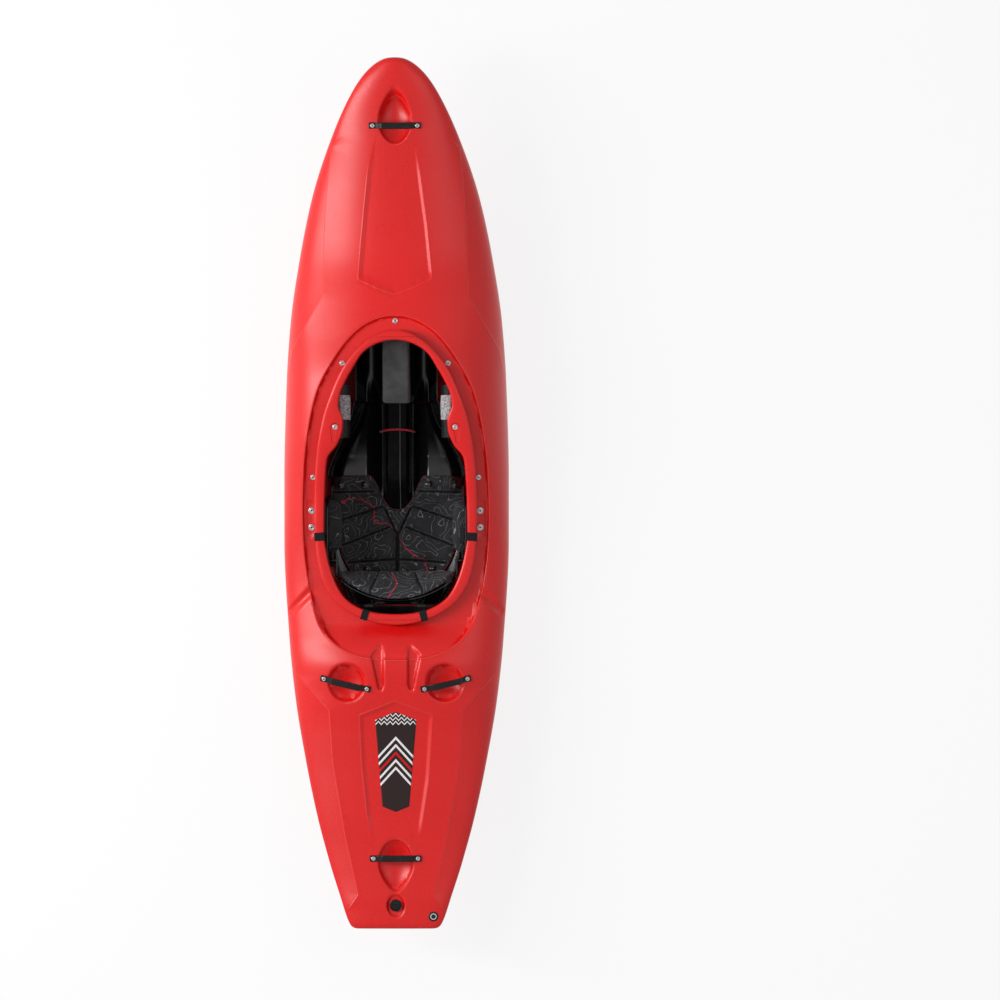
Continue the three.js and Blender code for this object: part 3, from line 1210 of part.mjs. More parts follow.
// Back band: a curved plate on two ears, with a pad on its face
const bandRadius = (BAND_HALF_WIDTH ** 2 + BAND_SAG ** 2) / (2 * BAND_SAG);
const bandCentreY = BAND_REAR_Y + bandRadius;
const bandTurn = Math.asin(BAND_HALF_WIDTH / bandRadius);
function bandSheet(inner, outer, low, high, trim) {
  const rings = [];
  for (let i = 0; i <= BAND_STEPS; i++) {
    const share = (2 * i) / BAND_STEPS - 1;
    const turn = share * bandTurn * trim;
    const crown = Math.sqrt(1 - Math.abs(share) ** BAND_CROWN_POWER);
    const point = (radius, z) => at(radius * Math.sin(turn), bandCentreY - radius * Math.cos(turn), z);
    const front = outer - (outer - inner) * (bandEdgeShare + (1 - bandEdgeShare) * crown);
    const [r, height] = [(high - low) * bandRoundShare, (high - low) / 2];
    const [top, bottom] = [low + height * (1 + bandEndShare + (1 - bandEndShare) * crown),
      high - height * (1 + bandEndShare + (1 - bandEndShare) * crown)];
    rings.push([
      point(outer, bottom), point(outer, top), point((front + outer) / 2, top),
      point(front, top - r), point(front, bottom + r), point((front + outer) / 2, bottom),
    ]);
  }
  return loft(rings);
}
const bandEar = (side) => {
  const [x0, x1] = [side * (BAND_HALF_WIDTH - EAR_SET), side * (BAND_HALF_WIDTH - EAR_SET + PAN_WALL)];
  const ear = boxFrom([x0, BAND_EAR_REAR, BAND_PIVOT_Z - EAR_HEIGHT / 2],
    [x1, BAND_PIVOT_Y + EAR_HEIGHT / 2, BAND_PIVOT_Z + EAR_HEIGHT / 2]);
  return ear.subtract(drillAt(at((x0 + x1) / 2, BAND_PIVOT_Y, BAND_PIVOT_Z), at(1, 0, 0),
    BOSS_RADIUS + CLEARANCE, OVERRUN, 2 * BOLT_SIDES));
};
const bandPlate = bandSheet(bandRadius, bandRadius + PAN_WALL, BAND_LOW, BAND_HIGH, 1);
const bandPlateWithEars = bandPlate.add(bandEar(1)).add(bandEar(-1));
addPiece("back_band", largest(bandPlateWithEars), BLACK_PLASTIC);
const bandPad = bandSheet(bandRadius - CLEARANCE - BAND_PAD_THICKNESS, bandRadius - CLEARANCE,
  BAND_LOW - BAND_PAD_LAP, BAND_HIGH + BAND_PAD_LAP, bandPadShare);
addPiece("back_pad", largest(bandPad.subtract(bandEar(1)).subtract(bandEar(-1))), PAD_FABRIC);

// Ratchets: a base on each cheek with two lugs and a pin, and the lever that turns on it
for (const [name, side] of sides) {
  const outerX = cheekInner - CLEARANCE;
  const innerX = outerX - RATCHET_WIDTH;
  const span = (x0, x1, y0, y1, z0, z1) => boxFrom([side * x0, y0, z0], [side * x1, y1, z1]);
  const [rear, front] = [RATCHET_REAR, RATCHET_REAR + RATCHET_LENGTH];
  const low = RATCHET_Z;
  const high = low + RATCHET_HEIGHT;
  const pinY = rear + BARREL_RADIUS + CLEARANCE;
  const pinZ = high + BARREL_RADIUS + CLEARANCE;
  const lugTop = pinZ + BARREL_RADIUS;
  const lugFront = pinY + BARREL_RADIUS;
  let base = span(innerX, outerX, rear, front, low, high);
  for (const lugX of [innerX, outerX - LUG_WALL]) {
    base = base.add(span(lugX, lugX + LUG_WALL, rear, lugFront, high, lugTop));
  }
  const middle = at(side * (innerX + outerX) / 2, pinY, pinZ);
  const alongX = at(1, 0, 0);
  base = base.add(drillAt(middle, alongX, PIN_RADIUS, RATCHET_WIDTH / 2));
  addPiece(`ratchet_base_${name}`, base, BLACK_PLASTIC);
  const barrelHalf = RATCHET_WIDTH / 2 - LUG_WALL - CLEARANCE;
  const grip = span(innerX + LUG_WALL + CLEARANCE, outerX - LUG_WALL - CLEARANCE,
    pinY, pinY + LEVER_LENGTH, pinZ - LEVER_THICKNESS / 2, pinZ + LEVER_THICKNESS / 2);
  const barrel = drillAt(middle, alongX, BARREL_RADIUS, barrelHalf);
  const bore = drillAt(middle, alongX, PIN_RADIUS + CLEARANCE, RATCHET_WIDTH);
  addPiece(`ratchet_lever_${name}`, barrel.add(grip).subtract(bore), BLACK_PLASTIC);
}

// Foam pillars between the hull and the deck, fore and aft
function pillar(width, front, rear, topAt, stepRear) {
  const rings = [];
  for (let i = 0; i <= PILLAR_STEPS; i++) {
    const y = front + ((rear - front) * i) / PILLAR_STEPS;
    const [low, high] = [keelZ(shareOf(y)), topAt(y)];
    const half = width / 2;
    rings.push([[-half, low], [half, low], [half, high], [-half, high]].map(([x, z]) => at(x, y, z)));
  }
  let solid = loft(rings);
  if (stepRear) solid = solid.subtract(stepRear);
  return restingOn(restingOn(solid, hull, UP), deck, DOWN);
}
const underCockpit = (y) => Math.min(deckZ(shareOf(y)),
  PILLAR_END_TOP + (y - PILLAR_REAR) * PILLAR_SLOPE_SHARE);
const pillarFront = footPadY - FOOT_PAD_THICKNESS / 2 - BULKHEAD_TRAVEL - PILLAR_FRONT_GAP;
const ridgeRoom = boxFrom(
  [-FRONT_PILLAR_WIDTH, PILLAR_REAR - OVERRUN, 0],
  [FRONT_PILLAR_WIDTH, PAN_FRONT + SEAT_TRAVEL + CLEARANCE, panTop(0, PAN_FRONT) + CLEARANCE]);
addPiece("front_pillar", pillar(
  FRONT_PILLAR_WIDTH, pillarFront, PILLAR_REAR, underCockpit, ridgeRoom), GREY_FOAM);
addPiece("rear_pillar", pillar(REAR_PILLAR_WIDTH, REAR_PILLAR_FRONT, REAR_PILLAR_REAR,
  (y) => deckZ(shareOf(y)), null), GREY_FOAM);

addPiece("hull_shell", hull, RED_PLASTIC);
addPiece("deck_shell", deck, RED_PLASTIC);
addPiece("cockpit_rim", rim, RED_PLASTIC);

export default part;
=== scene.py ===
import bmesh
import bpy
import json
import math
import numpy as np
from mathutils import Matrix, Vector
from mathutils.kdtree import KDTree


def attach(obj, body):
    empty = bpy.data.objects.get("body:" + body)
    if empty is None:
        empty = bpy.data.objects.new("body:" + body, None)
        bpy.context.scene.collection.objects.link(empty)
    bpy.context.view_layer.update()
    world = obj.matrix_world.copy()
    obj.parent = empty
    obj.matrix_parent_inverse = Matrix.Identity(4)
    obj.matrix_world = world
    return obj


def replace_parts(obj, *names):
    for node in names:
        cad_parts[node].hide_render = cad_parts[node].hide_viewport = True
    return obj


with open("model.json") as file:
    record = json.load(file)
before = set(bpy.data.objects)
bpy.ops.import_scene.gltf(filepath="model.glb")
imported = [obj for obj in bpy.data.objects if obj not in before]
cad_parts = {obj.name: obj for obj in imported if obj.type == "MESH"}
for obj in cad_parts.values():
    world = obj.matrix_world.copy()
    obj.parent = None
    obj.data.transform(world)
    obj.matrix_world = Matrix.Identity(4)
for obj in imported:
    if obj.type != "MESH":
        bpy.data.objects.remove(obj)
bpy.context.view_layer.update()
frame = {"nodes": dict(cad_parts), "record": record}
scene = bpy.context.scene
put_in_scene = scene.collection.objects.link

# Camera: straight down on the deck, as in the photograph's left view
LENS = 150.0
SENSOR = 36.0
VIEW_WIDTH = 3.114
camera_data = bpy.data.cameras.new("camera")
camera_data.lens = LENS
camera_data.sensor_width = SENSOR
camera_data.clip_end = 60.0
camera = bpy.data.objects.new("camera", camera_data)
camera.location = (0.325, -0.014, VIEW_WIDTH / SENSOR * LENS + 0.3)
put_in_scene(camera)
scene.camera = camera


# Shader maths written as expressions
class Value:
    """A number or a colour on a surface."""

    def __init__(self, paint, socket):
        self.paint, self.socket = paint, socket

    def __add__(self, other):
        return self.paint.math("ADD", self, other)

    def __sub__(self, other):
        return self.paint.math("SUBTRACT", self, other)

    def __rsub__(self, other):
        return self.paint.math("SUBTRACT", other, self)

    def __mul__(self, other):
        return self.paint.math("MULTIPLY", self, other)

    def __truediv__(self, other):
        return self.paint.math("DIVIDE", self, other)

    __radd__ = __add__
    __rmul__ = __mul__


class Paint:
    """One procedural material."""

    def __init__(self, name, **constants):
        self.material = bpy.data.materials.new(name)
        self.material.use_nodes = True
        self.tree = self.material.node_tree
        self.shader = self.tree.nodes["Principled BSDF"]
        for socket, value in constants.items():
            self.shader.inputs[socket.replace("_", " ")].default_value = value

    def put(self, socket, value):
        if isinstance(value, Value):
            self.tree.links.new(value.socket, socket)
        elif value is not None:
            socket.default_value = value

    def node(self, kind, settings, inputs, output=0):
        made = self.tree.nodes.new("ShaderNode" + kind)
        for key, value in settings.items():
            setattr(made, key, value)
        for socket, value in inputs.items():
            self.put(made.inputs[socket], value)
        return Value(self, made.outputs[output])

    def math(self, operation, *values):
        return self.node("Math", {"operation": operation}, dict(enumerate(values)))

    def mix(self, factor, a, b):
        a, b = ((*v, 1.0) if isinstance(v, tuple) else v for v in (a, b))
        return self.node("Mix", {"data_type": "RGBA"}, {0: factor, 6: a, 7: b}, output=2)

    def size(self, value):
        return self.math("ABSOLUTE", value)

    def wave(self, value):
        return self.math("SINE", value)

    def above(self, value, limit):
        return self.math("GREATER_THAN", value, limit)

    def below(self, value, limit):
        return self.math("LESS_THAN", value, limit)

    def larger(self, a, b):
        return self.math("MAXIMUM", a, b)

    def place(self):
        return self.node("TexCoord", {}, {}, output="Object")

    def noise(self, scale, detail=3.0, roughness=0.5, where=None):
        return self.node("TexNoise", {}, {"Scale": scale, "Detail": detail, "Roughness": roughness,
                                          "Vector": where or self.place()}, output="Fac")

    def span(self, value, low, high, to_low=0.0, to_high=1.0):
        return self.node("MapRange", {"clamp": True, "interpolation_type": "SMOOTHSTEP"},
                         {0: value, 1: low, 2: high, 3: to_low, 4: to_high})

    def axes(self, where=None):
        split = self.node("SeparateXYZ", {}, {0: where or self.place()})
        return [Value(self, socket) for socket in split.socket.node.outputs]

    def mark(self, name):
        return self.node("Attribute", {"attribute_name": name}, {}, output="Fac")

    def line(self, distance, half_width):
        """1 on a thin line where a distance is 0, and 0 beside it."""
        return self.span(self.size(distance), half_width * 0.35, half_width, 1.0, 0.0)

    def seen(self):
        """1 for rays from the camera, off shiny surfaces and through clear ones, and 0 for the rest."""
        rays = self.node("LightPath", {}, {}).socket.node.outputs
        camera, glossy, clear = (Value(self, rays[f"Is {kind} Ray"])
                                 for kind in ("Camera", "Glossy", "Transmission"))
        return self.math("MINIMUM", camera + glossy + clear, 1.0)

    def bump(self, height, strength, distance):
        normal = self.node("Bump", {}, {"Strength": strength, "Distance": distance,
                                        "Height": height})
        self.put(self.shader.inputs["Normal"], normal)

    def done(self, colour=None, roughness=None, metallic=None):
        for name, value in (("Base Color", colour), ("Roughness", roughness), ("Metallic", metallic)):
            if isinstance(value, tuple):
                value = (*value, 1.0)
            self.put(self.shader.inputs[name], value)
        return self.material


EDGE_INSET = 0.0025
BRACE_BOLT_X, BRACE_BOLT_Y = 0.186, 0.212
PRINT_RED = (0.60, 0.012, 0.045)
PRINT_WHITE = (0.80, 0.78, 0.77)
CHEVRON_STEP, ZIGZAG_STEP = 0.0235, 0.0125


def red_plastic(name="red_plastic", finish=None):
    """Satin moulded plastic: a fine mottled grain, cloudy tone and pale painted highlights on its
    edges.
    """
    p = Paint(name, Specular_IOR_Level=0.42)
    mottle = p.noise(190.0, 4.0, 0.62)
    cloud = p.noise(2.2, 2.0, 0.5)
    grain = p.noise(650.0, 2.0, 0.6)
    tone = p.span(mottle * 0.62 + cloud * 0.38, 0.34, 0.66)
    colour = p.mix(tone, (0.60, 0.0022, 0.0022), (0.71, 0.0044, 0.0040))
    height = mottle * 0.00014 + grain * 0.00008
    if finish == "deck":
        crease, weight = p.mark("crease"), p.mark("crease_weight")
        edge, shown = p.mark("edge") - EDGE_INSET, p.mark("edge_weight")
        height = height - p.span(crease, -0.0012, 0.0012) * 0.0011 * weight
        height = height + p.line(edge, 0.0032) * 0.0012 * shown
        # A pale line painted along the creases and the edges of the trough, panels and hollows: painted
        # highlight.
        painted_highlight = p.larger(p.line(crease, 0.0016) * weight, p.line(edge, 0.0021) * shown)
        colour = p.mix(painted_highlight * (0.15 + 0.5 * mottle), colour, (0.82, 0.09, 0.07))
    if finish == "rim":
        x, y, _ = p.axes()
        plate = p.larger(p.size(x) - 0.070, p.size(p.size(y - 0.0507) - 0.4285) - 0.0105)
        pocket_x, pocket_y = p.size(x) - BRACE_BOLT_X, y - BRACE_BOLT_Y
        pocket = p.math("SQRT", pocket_x * pocket_x + pocket_y * pocket_y) - 0.0125
        tail = p.larger(p.size(pocket_x - 0.006) - 0.005 - (y - 0.17) * 0.12, p.size(y - 0.19) - 0.026)
        pocket = p.math("MINIMUM", pocket, tail)
        height = height - p.line(plate, 0.0011) * 0.0008 + p.span(pocket, -0.0015, 0.0004) * 0.0030
        # A dark line painted in the groove round each plate: painted shade.
        colour = p.mix(p.line(plate, 0.0010) * 0.5, colour, (0.24, 0.002, 0.003))
    p.bump(height, 1.0, 1.0)
    return p.done(colour, p.span(mottle + grain * 0.5, 0.4, 1.1, 0.29, 0.42))


def black_plastic(name="black_plastic", rough=(0.3, 0.5), tint=(0.008, 0.008, 0.009), shine=0.2,
                  seam=None):
    """Satin black moulding. With a seam it is the seat's, whose crown and wings are glossier."""
    p = Paint(name, Specular_IOR_Level=shine)
    grain = p.noise(900.0, 3.0, 0.6)
    scuffs = p.noise(30.0, 5.0, 0.7)
    colour = p.mix(p.span(scuffs, 0.45, 0.75), tint, tuple(min(1.0, 2.1 * c) for c in tint))
    if seam:
        x, y, _ = p.axes()
        length = p.above(y, -0.05)
        # A pale grey line painted along the seam: a painted highlight of the parting line.
        colour = p.mix(p.line(x - seam, 0.0012) * length * 0.8, colour, (0.20, 0.20, 0.21))
        side = p.size(x)
        edges = p.line(side - 0.0425, 0.0085) * length
        front = p.span(y, 0.085, 0.185, 1.0, 0.0) * p.span(side, 0.034, 0.052)
        wings = p.span(side + (y - 0.2) * 0.22, 0.112, 0.124) * p.span(y, -0.06, 0.02)
        sheen = p.larger(p.larger(edges * 0.8, front * 0.75), wings * 0.8)
        p.put(p.shader.inputs["Coat Weight"], sheen)
        p.shader.inputs["Coat Roughness"].default_value = 0.22
    p.bump(grain, 0.18, 0.0003)
    return p.done(colour, p.span(scuffs, 0.3, 0.7, *rough))


def foam():
    """Grey closed-cell foam with the marks of a saw."""
    p = Paint("grey_foam", Sheen_Weight=0.15)
    cells = p.node("TexVoronoi", {}, {"Scale": 700.0, "Vector": p.place()}, output="Distance")
    patch = p.noise(18.0, 3.0)
    colour = p.mix(p.span(patch, 0.3, 0.7), (0.035, 0.037, 0.039), (0.062, 0.065, 0.068))
    _, y, _ = p.axes()
    saw = p.wave((y + p.noise(9.0, 2.0) * 0.004) * 1400.0) * p.span(p.noise(40.0, 2.0), 0.45, 0.6)
    colour = p.mix(p.span(saw, 0.3, 0.9, 0.0, 0.45), colour, (0.016, 0.017, 0.018))
    p.bump(cells * 0.0004 - saw * 0.0003, 1.0, 1.0)
    return p.done(colour, 0.95)


def steel():
    """Brushed steel."""
    p = Paint("steel", Metallic=1.0)
    where = p.node("Mapping", {}, {"Vector": p.place(), "Scale": (60.0, 60.0, 900.0)})
    brush = p.noise(8.0, 3.0, 0.6, where)
    colour = p.mix(brush, (0.34, 0.335, 0.33), (0.52, 0.515, 0.505))
    return p.done(colour, p.span(brush, 0.3, 0.7, 0.24, 0.42))


def plain_fabric():
    """Black weave, for the plain solids of the cushions."""
    p = Paint("pad_fabric", Sheen_Weight=0.25)
    x, y, z = p.axes()
    weave = p.wave((x + z) * 2600.0) * p.wave((y - z) * 2600.0)
    patch = p.noise(40.0, 4.0)
    colour = p.mix(p.span(patch + weave * 0.15, 0.3, 0.8), (0.014, 0.015, 0.016), (0.03, 0.031, 0.033))
    p.bump(weave, 0.3, 0.0004)
    return p.done(colour, 0.88)


def rubber():
    """Dull black rubber."""
    p = Paint("rubber")
    grain = p.noise(800.0, 2.0)
    p.bump(grain, 0.2, 0.0002)
    return p.done((0.012, 0.012, 0.012), p.span(grain, 0.3, 0.7, 0.6, 0.8))


def cord_braid():
    """Red braided cord."""
    p = Paint("red_cord", Sheen_Weight=0.2)
    x, y, z = p.axes()
    strands = p.wave((x + y + z) * 2400.0) * p.wave((x - y - z) * 2400.0)
    colour = p.mix(p.span(strands, -0.6, 0.6), (0.42, 0.006, 0.014), (0.78, 0.015, 0.035))
    p.bump(strands, 0.5, 0.0006)
    return p.done(colour, 0.7)


def contour_fabric():
    """Charcoal fabric printed with thin grey contour lines and one red one, and sewn seams."""
    p = Paint("contour_fabric", Specular_IOR_Level=0.2, Sheen_Weight=0.05)
    x, y, z = p.axes()
    weave = p.wave((x + z) * 2500.0) * p.wave((y - z) * 2500.0)
    patch = p.noise(30.0, 3.0)
    hills = p.noise(10.0, 2.0, 0.42)
    bend = p.noise(60.0, 2.0, 0.5)
    away = p.size(p.math("FRACT", (hills + bend * 0.03) * 15.0) - 0.5)
    lines = p.span(away, 0.455, 0.482)
    colour = p.mix(p.span(patch + weave * 0.12, 0.3, 0.8), (0.020, 0.021, 0.023), (0.038, 0.040, 0.044))
    colour = p.mix(lines * p.span(bend, 0.3, 0.55, 0.5, 1.0), colour, (0.22, 0.225, 0.235))
    stray = (y + x * 0.72 + 0.130) * 0.8 + (p.noise(10.0, 0.6, 0.4) - 0.5) * 0.17
    on_seat = p.above(y, -0.240) * p.below(p.size(x), 0.178)
    colour = p.mix(p.line(stray, 0.0020) * on_seat * 0.95, colour, PRINT_RED)
    sway = x + 0.012 - p.wave((y + 0.300) * 62.0) * 0.013
    on_back = p.below(y, -0.2435)
    colour = p.mix(p.line(sway, 0.0021) * on_back * 0.95, colour, PRINT_RED)
    seam = p.mark("seam")
    thread = p.span(p.wave((x * 0.6 + y) * 2100.0), -0.2, 0.4)
    stitch = p.line(seam - 0.0062, 0.0013) * thread
    # A near-black band painted down each sewn channel: painted shade in the groove.
    colour = p.mix(p.span(seam, 0.0020, 0.0046, 0.92, 0.0), colour, (0.002, 0.002, 0.002))
    colour = p.mix(stitch * 0.9, colour, (0.13, 0.13, 0.135))
    p.bump(weave * 0.00006 + stitch * 0.0004 + patch * 0.0005, 1.0, 1.0)
    return p.done(colour, p.span(patch, 0.3, 0.7, 0.78, 0.92))


def fleece():
    """Silvery mottled pile."""
    p = Paint("fleece", Sheen_Weight=0.3)
    pile = p.noise(900.0, 3.0, 0.7)
    clump = p.noise(160.0, 4.0, 0.7)
    tone = p.span(pile * 0.45 + clump * 0.55, 0.38, 0.62)
    colour = p.mix(tone, (0.045, 0.046, 0.050), (0.62, 0.63, 0.65))
    p.bump(pile * 0.0006 + clump * 0.0012, 1.0, 1.0)
    return p.done(colour, 0.85)


def webbing():
    """Ribbed black webbing."""
    p = Paint("webbing", Specular_IOR_Level=0.15)
    x, y, z = p.axes()
    ribs = p.wave((x + y) * 3600.0) * 0.5 + p.wave((x - y + z) * 1500.0) * 0.5
    colour = p.mix(p.span(ribs, -0.6, 0.8), (0.004, 0.004, 0.005), (0.014, 0.014, 0.015))
    p.bump(ribs * 0.00025, 1.0, 1.0)
    return p.done(colour, 0.75)


def piping():
    """Dark red corded edging."""
    p = Paint("piping", Sheen_Weight=0.1)
    x, y, _ = p.axes()
    rib = p.wave((x + y) * 3000.0)
    p.bump(rib * 0.0002, 1.0, 1.0)
    return p.done(p.mix(p.span(rib, -1.0, 1.0), (0.15, 0.005, 0.012), (0.32, 0.012, 0.03)), 0.8)


def graphic():
    """A plain geometric pattern: a field of zigzags over stacked chevrons, dark, white and red."""
    p = Paint("stern_print", Specular_IOR_Level=0.2)
    x, y, _ = p.axes()
    side = p.size(x)
    aft = y + 0.831
    level = aft + side * 1.1
    chevrons = p.below(p.math("FRACT", level / CHEVRON_STEP), 0.40)
    chevrons = chevrons * p.below(level, 4 * CHEVRON_STEP) * p.above(level, -CHEVRON_STEP)
    red = p.above(level, CHEVRON_STEP) * p.below(level, 2 * CHEVRON_STEP)
    zigzag = aft + p.size(p.math("FRACT", side / 0.0180 + 0.5) - 0.5) * 0.020
    rows = p.math("FRACT", zigzag / ZIGZAG_STEP)
    field = p.above(zigzag, 10 * ZIGZAG_STEP) * p.below(rows, 0.34)
    grain = p.noise(500.0, 2.0)
    colour = p.mix(field, p.mix(grain, (0.012, 0.005, 0.005), (0.022, 0.010, 0.010)), PRINT_WHITE)
    colour = p.mix(chevrons, colour, p.mix(red, PRINT_WHITE, (0.62, 0.006, 0.008)))
    p.bump(grain, 0.1, 0.0004)
    return p.done(colour, p.span(grain, 0.3, 0.7, 0.34, 0.46))


def dot():
    """A pale ring on dark."""
    p = Paint("stern_dot", Specular_IOR_Level=0.2)
    grain = p.noise(400.0, 2.0)
    x, y, _ = p.axes()
    x, y = x - 0.1177, y + 1.3119
    away = p.math("SQRT", x * x + y * y)
    ring = p.line(away - 0.0085, 0.0016)
    colour = p.mix(ring, p.mix(grain, (0.012, 0.008, 0.008), (0.03, 0.02, 0.02)), (0.8, 0.79, 0.78))
    return p.done(colour, p.span(grain, 0.3, 0.7, 0.35, 0.5))


RED = red_plastic()
DECK_RED = red_plastic("deck_red", "deck")
RIM_RED = red_plastic("rim_red", "rim")
BLACK = black_plastic()
SEAT_BLACK = black_plastic("seat_plastic", (0.3, 0.45), (0.005, 0.005, 0.006), 0.03, 0.009)
SNAP_BLACK = black_plastic("snap_black", (0.08, 0.16), (0.008, 0.008, 0.009), 0.5)
HANDLE_BLACK = black_plastic("handle_black", (0.2, 0.36), (0.005, 0.005, 0.006))
FOAM = foam()
STEEL = steel()
FABRIC = plain_fabric()
RUBBER = rubber()
CORD = cord_braid()
FABRIC_PRINT = contour_fabric()
FLEECE = fleece()
WEBBING = webbing()
PIPING = piping()
GRAPHIC = graphic()
DOT = dot()

# The boat's form, in metres, from the same tables as its solids. The left view's pixels give places
PIXEL, MIDDLE_PX, TOP_Y = 0.003114, 395.5, 1.543
LENGTH, BEAM, HEIGHT, WALL = 2.7, 0.706, 0.451, 0.006
HALF_BEAM = [
    (0, 0.03), (0.007, 0.175), (0.0207, 0.285), (0.0437, 0.4), (0.09, 0.566), (0.159, 0.746),
    (0.2285, 0.859), (0.2974, 0.938), (0.3667, 0.976), (0.482, 1), (0.551, 1), (0.667, 0.952),
    (0.736, 0.896), (0.805, 0.806), (0.874, 0.693), (0.92, 0.597), (0.967, 0.482), (0.99, 0.4225),
    (0.9963, 0.397), (1, 0.34)]
KEEL = [
    (0, 0.951), (0.0104, 0.885), (0.024, 0.816), (0.0467, 0.707), (0.0922, 0.53), (0.138, 0.386),
    (0.1837, 0.2705), (0.229, 0.182), (0.275, 0.106), (0.32, 0.058), (0.366, 0.0244),
    (0.412, 0.007), (0.444, 0), (0.556, 0), (0.594, 0.012), (0.64, 0.0377), (0.6856, 0.0776),
    (0.731, 0.14), (0.7767, 0.208), (0.8226, 0.2905), (0.868, 0.368), (0.9137, 0.448),
    (0.959, 0.532), (0.982, 0.572), (0.9937, 0.592), (1, 0.62)]
SHEER = [
    (0, 0.962), (0.0104, 0.93), (0.032, 0.885), (0.1055, 0.704), (0.169, 0.583), (0.212, 0.523),
    (0.2426, 0.494), (0.306, 0.4435), (0.373, 0.412), (0.4467, 0.3836), (0.583, 0.386),
    (0.644, 0.406), (0.72, 0.437), (0.7815, 0.468), (0.874, 0.53), (0.935, 0.572), (0.979, 0.613),
    (1, 0.63)]
DECK = [
    (0, 0.973), (0.0056, 1), (0.0148, 0.993), (0.033, 0.969), (0.0922, 0.891), (0.138, 0.865),
    (0.1837, 0.84), (0.229, 0.827), (0.275, 0.846), (0.315, 0.867), (0.374, 0.905), (0.43, 0.889),
    (0.456, 0.854), (0.511, 0.765), (0.5715, 0.678), (0.615, 0.654), (0.6626, 0.676),
    (0.6963, 0.705), (0.731, 0.6785), (0.7767, 0.6386), (0.8226, 0.625), (0.891, 0.625),
    (0.9367, 0.6386), (0.971, 0.6585), (0.9937, 0.662), (1, 0.642)]
CHINE_HALF = [(0, 0.5), (0.1, 0.56), (0.229, 0.66), (0.35, 0.73), (0.5, 0.75), (0.7, 0.78), (1, 0.84)]
CHINE_RISE = [(0, 0.4), (0.1, 0.32), (0.229, 0.25), (0.35, 0.2), (0.5, 0.185), (0.7, 0.22), (1, 0.35)]
FLAT_BOTTOM = [(0, 0), (0.15, 0.1), (0.35, 0.4), (0.5, 0.46), (0.7, 0.4), (1, 0.5)]
FULLNESS = [(0, 2.2), (0.2, 2.3), (0.4, 2.8), (0.62, 2.8), (0.75, 2.6), (1, 2.6)]
RIM_TOP = [
    (0.29, 0.905), (0.32, 0.911), (0.343, 0.905), (0.366, 0.885), (0.389, 0.865), (0.412, 0.836),
    (0.434, 0.809), (0.457, 0.776), (0.48, 0.747), (0.503, 0.714), (0.526, 0.693), (0.5485, 0.672),
    (0.5715, 0.6585), (0.594, 0.652), (0.617, 0.646), (0.7, 0.645)]
TROUGH = [
    (0, 0), (0.044, 0.414), (0.133, 0.6735), (0.228, 0.848), (0.342, 0.941), (0.456, 0.988),
    (0.583, 1), (0.678, 0.988), (0.792, 0.929), (0.83, 0.895), (0.927, 0.741), (0.978, 0.508),
    (0.9956, 0.252), (1, 0)]
RIM = [
    (0, 0), (0.02, 0.259), (0.068, 0.4735), (0.1305, 0.647), (0.211, 0.7805), (0.3, 0.888),
    (0.3956, 0.954), (0.499, 0.989), (0.6315, 1), (0.742, 0.9815), (0.838, 0.914), (0.9116, 0.767),
    (0.9595, 0.554), (0.989, 0.286), (1, 0)]
OPENING = [
    (0, 0), (0.0117, 0.237), (0.0476, 0.45), (0.095, 0.57), (0.151, 0.691), (0.198, 0.767),
    (0.238, 0.788), (0.2935, 0.722), (0.3335, 0.7375), (0.381, 0.813), (0.4286, 0.948),
    (0.484, 0.9735), (0.603, 0.9944), (0.7064, 1), (0.786, 0.958), (0.865, 0.873),
    (0.9367, 0.722), (0.98, 0.479), (0.996, 0.237), (1, 0)]


def curve_through(table):
    """A smooth curve through listed shares that never overshoots them."""
    shares, values = (np.array(column, float) for column in zip(*table))

    def angle(share):
        return np.arccos(1 - 2 * np.clip(share, 0.0, 1.0))

    at = angle(shares)
    slope = np.diff(values) / np.diff(at)
    tangent = np.empty_like(values)
    tangent[0], tangent[-1] = slope[0], slope[-1]
    before, after = slope[:-1], slope[1:]
    total = before + after
    steady = before * after > 0
    tangent[1:-1] = np.where(steady, 2 * before * after / np.where(steady, total, 1.0), 0.0)

    def curve(share):
        here = angle(np.asarray(share, float))
        i = np.clip(np.searchsorted(at, here) - 1, 0, len(at) - 2)
        step = at[i + 1] - at[i]
        q = (here - at[i]) / step
        return (values[i] * (1 + 2 * q) * (1 - q) ** 2 + tangent[i] * step * q * (1 - q) ** 2
                + values[i + 1] * q * q * (3 - 2 * q) + tangent[i + 1] * step * q * q * (q - 1))

    return curve


def ease(a, b, v):
    """From 0 at a to 1 at b, with a soft start and end."""
    q = np.clip((v - a) / (b - a), 0.0, 1.0)
    return q * q * (3 - 2 * q)


def share_of(y):
    return 0.5 - np.asarray(y, float) / LENGTH


def down_the_boat(size, table):
    """A measure at any place along the boat, from its shares of one size."""
    curve = curve_through(table)
    return lambda y: size * curve(share_of(y))


half_beam = down_the_boat(BEAM / 2, HALF_BEAM)
keel_z, sheer_z, deck_z, rim_top_z = (
    down_the_boat(HEIGHT, table) for table in (KEEL, SHEER, DECK, RIM_TOP))
chine_half, chine_rise, flat_share, fullness = map(
    curve_through, (CHINE_HALF, CHINE_RISE, FLAT_BOTTOM, FULLNESS))
TROUGH_LENGTH, TROUGH_WIDTH, TROUGH_FRONT = 1.066, 0.578, 0.555
TROUGH_DROP, TROUGH_FALL, COVE_RISE = 0.036, 0.014, 0.058


def trough_floor(x, y):
    """The trough's height: it falls away outwards from the rim, and its aft end rises in a cove."""
    cove = COVE_RISE * ease(0.393, 0.505, -y)
    return rim_top_z(y) - TROUGH_DROP - TROUGH_FALL * (x / (TROUGH_WIDTH / 2)) ** 2 + cove


def plain_deck(x, y):
    across = np.minimum(1.0, np.abs(x) / half_beam(y))
    crown = np.sqrt(np.maximum(0.0, 1 - across ** fullness(share_of(y))))
    return sheer_z(y) + (deck_z(y) - sheer_z(y)) * crown


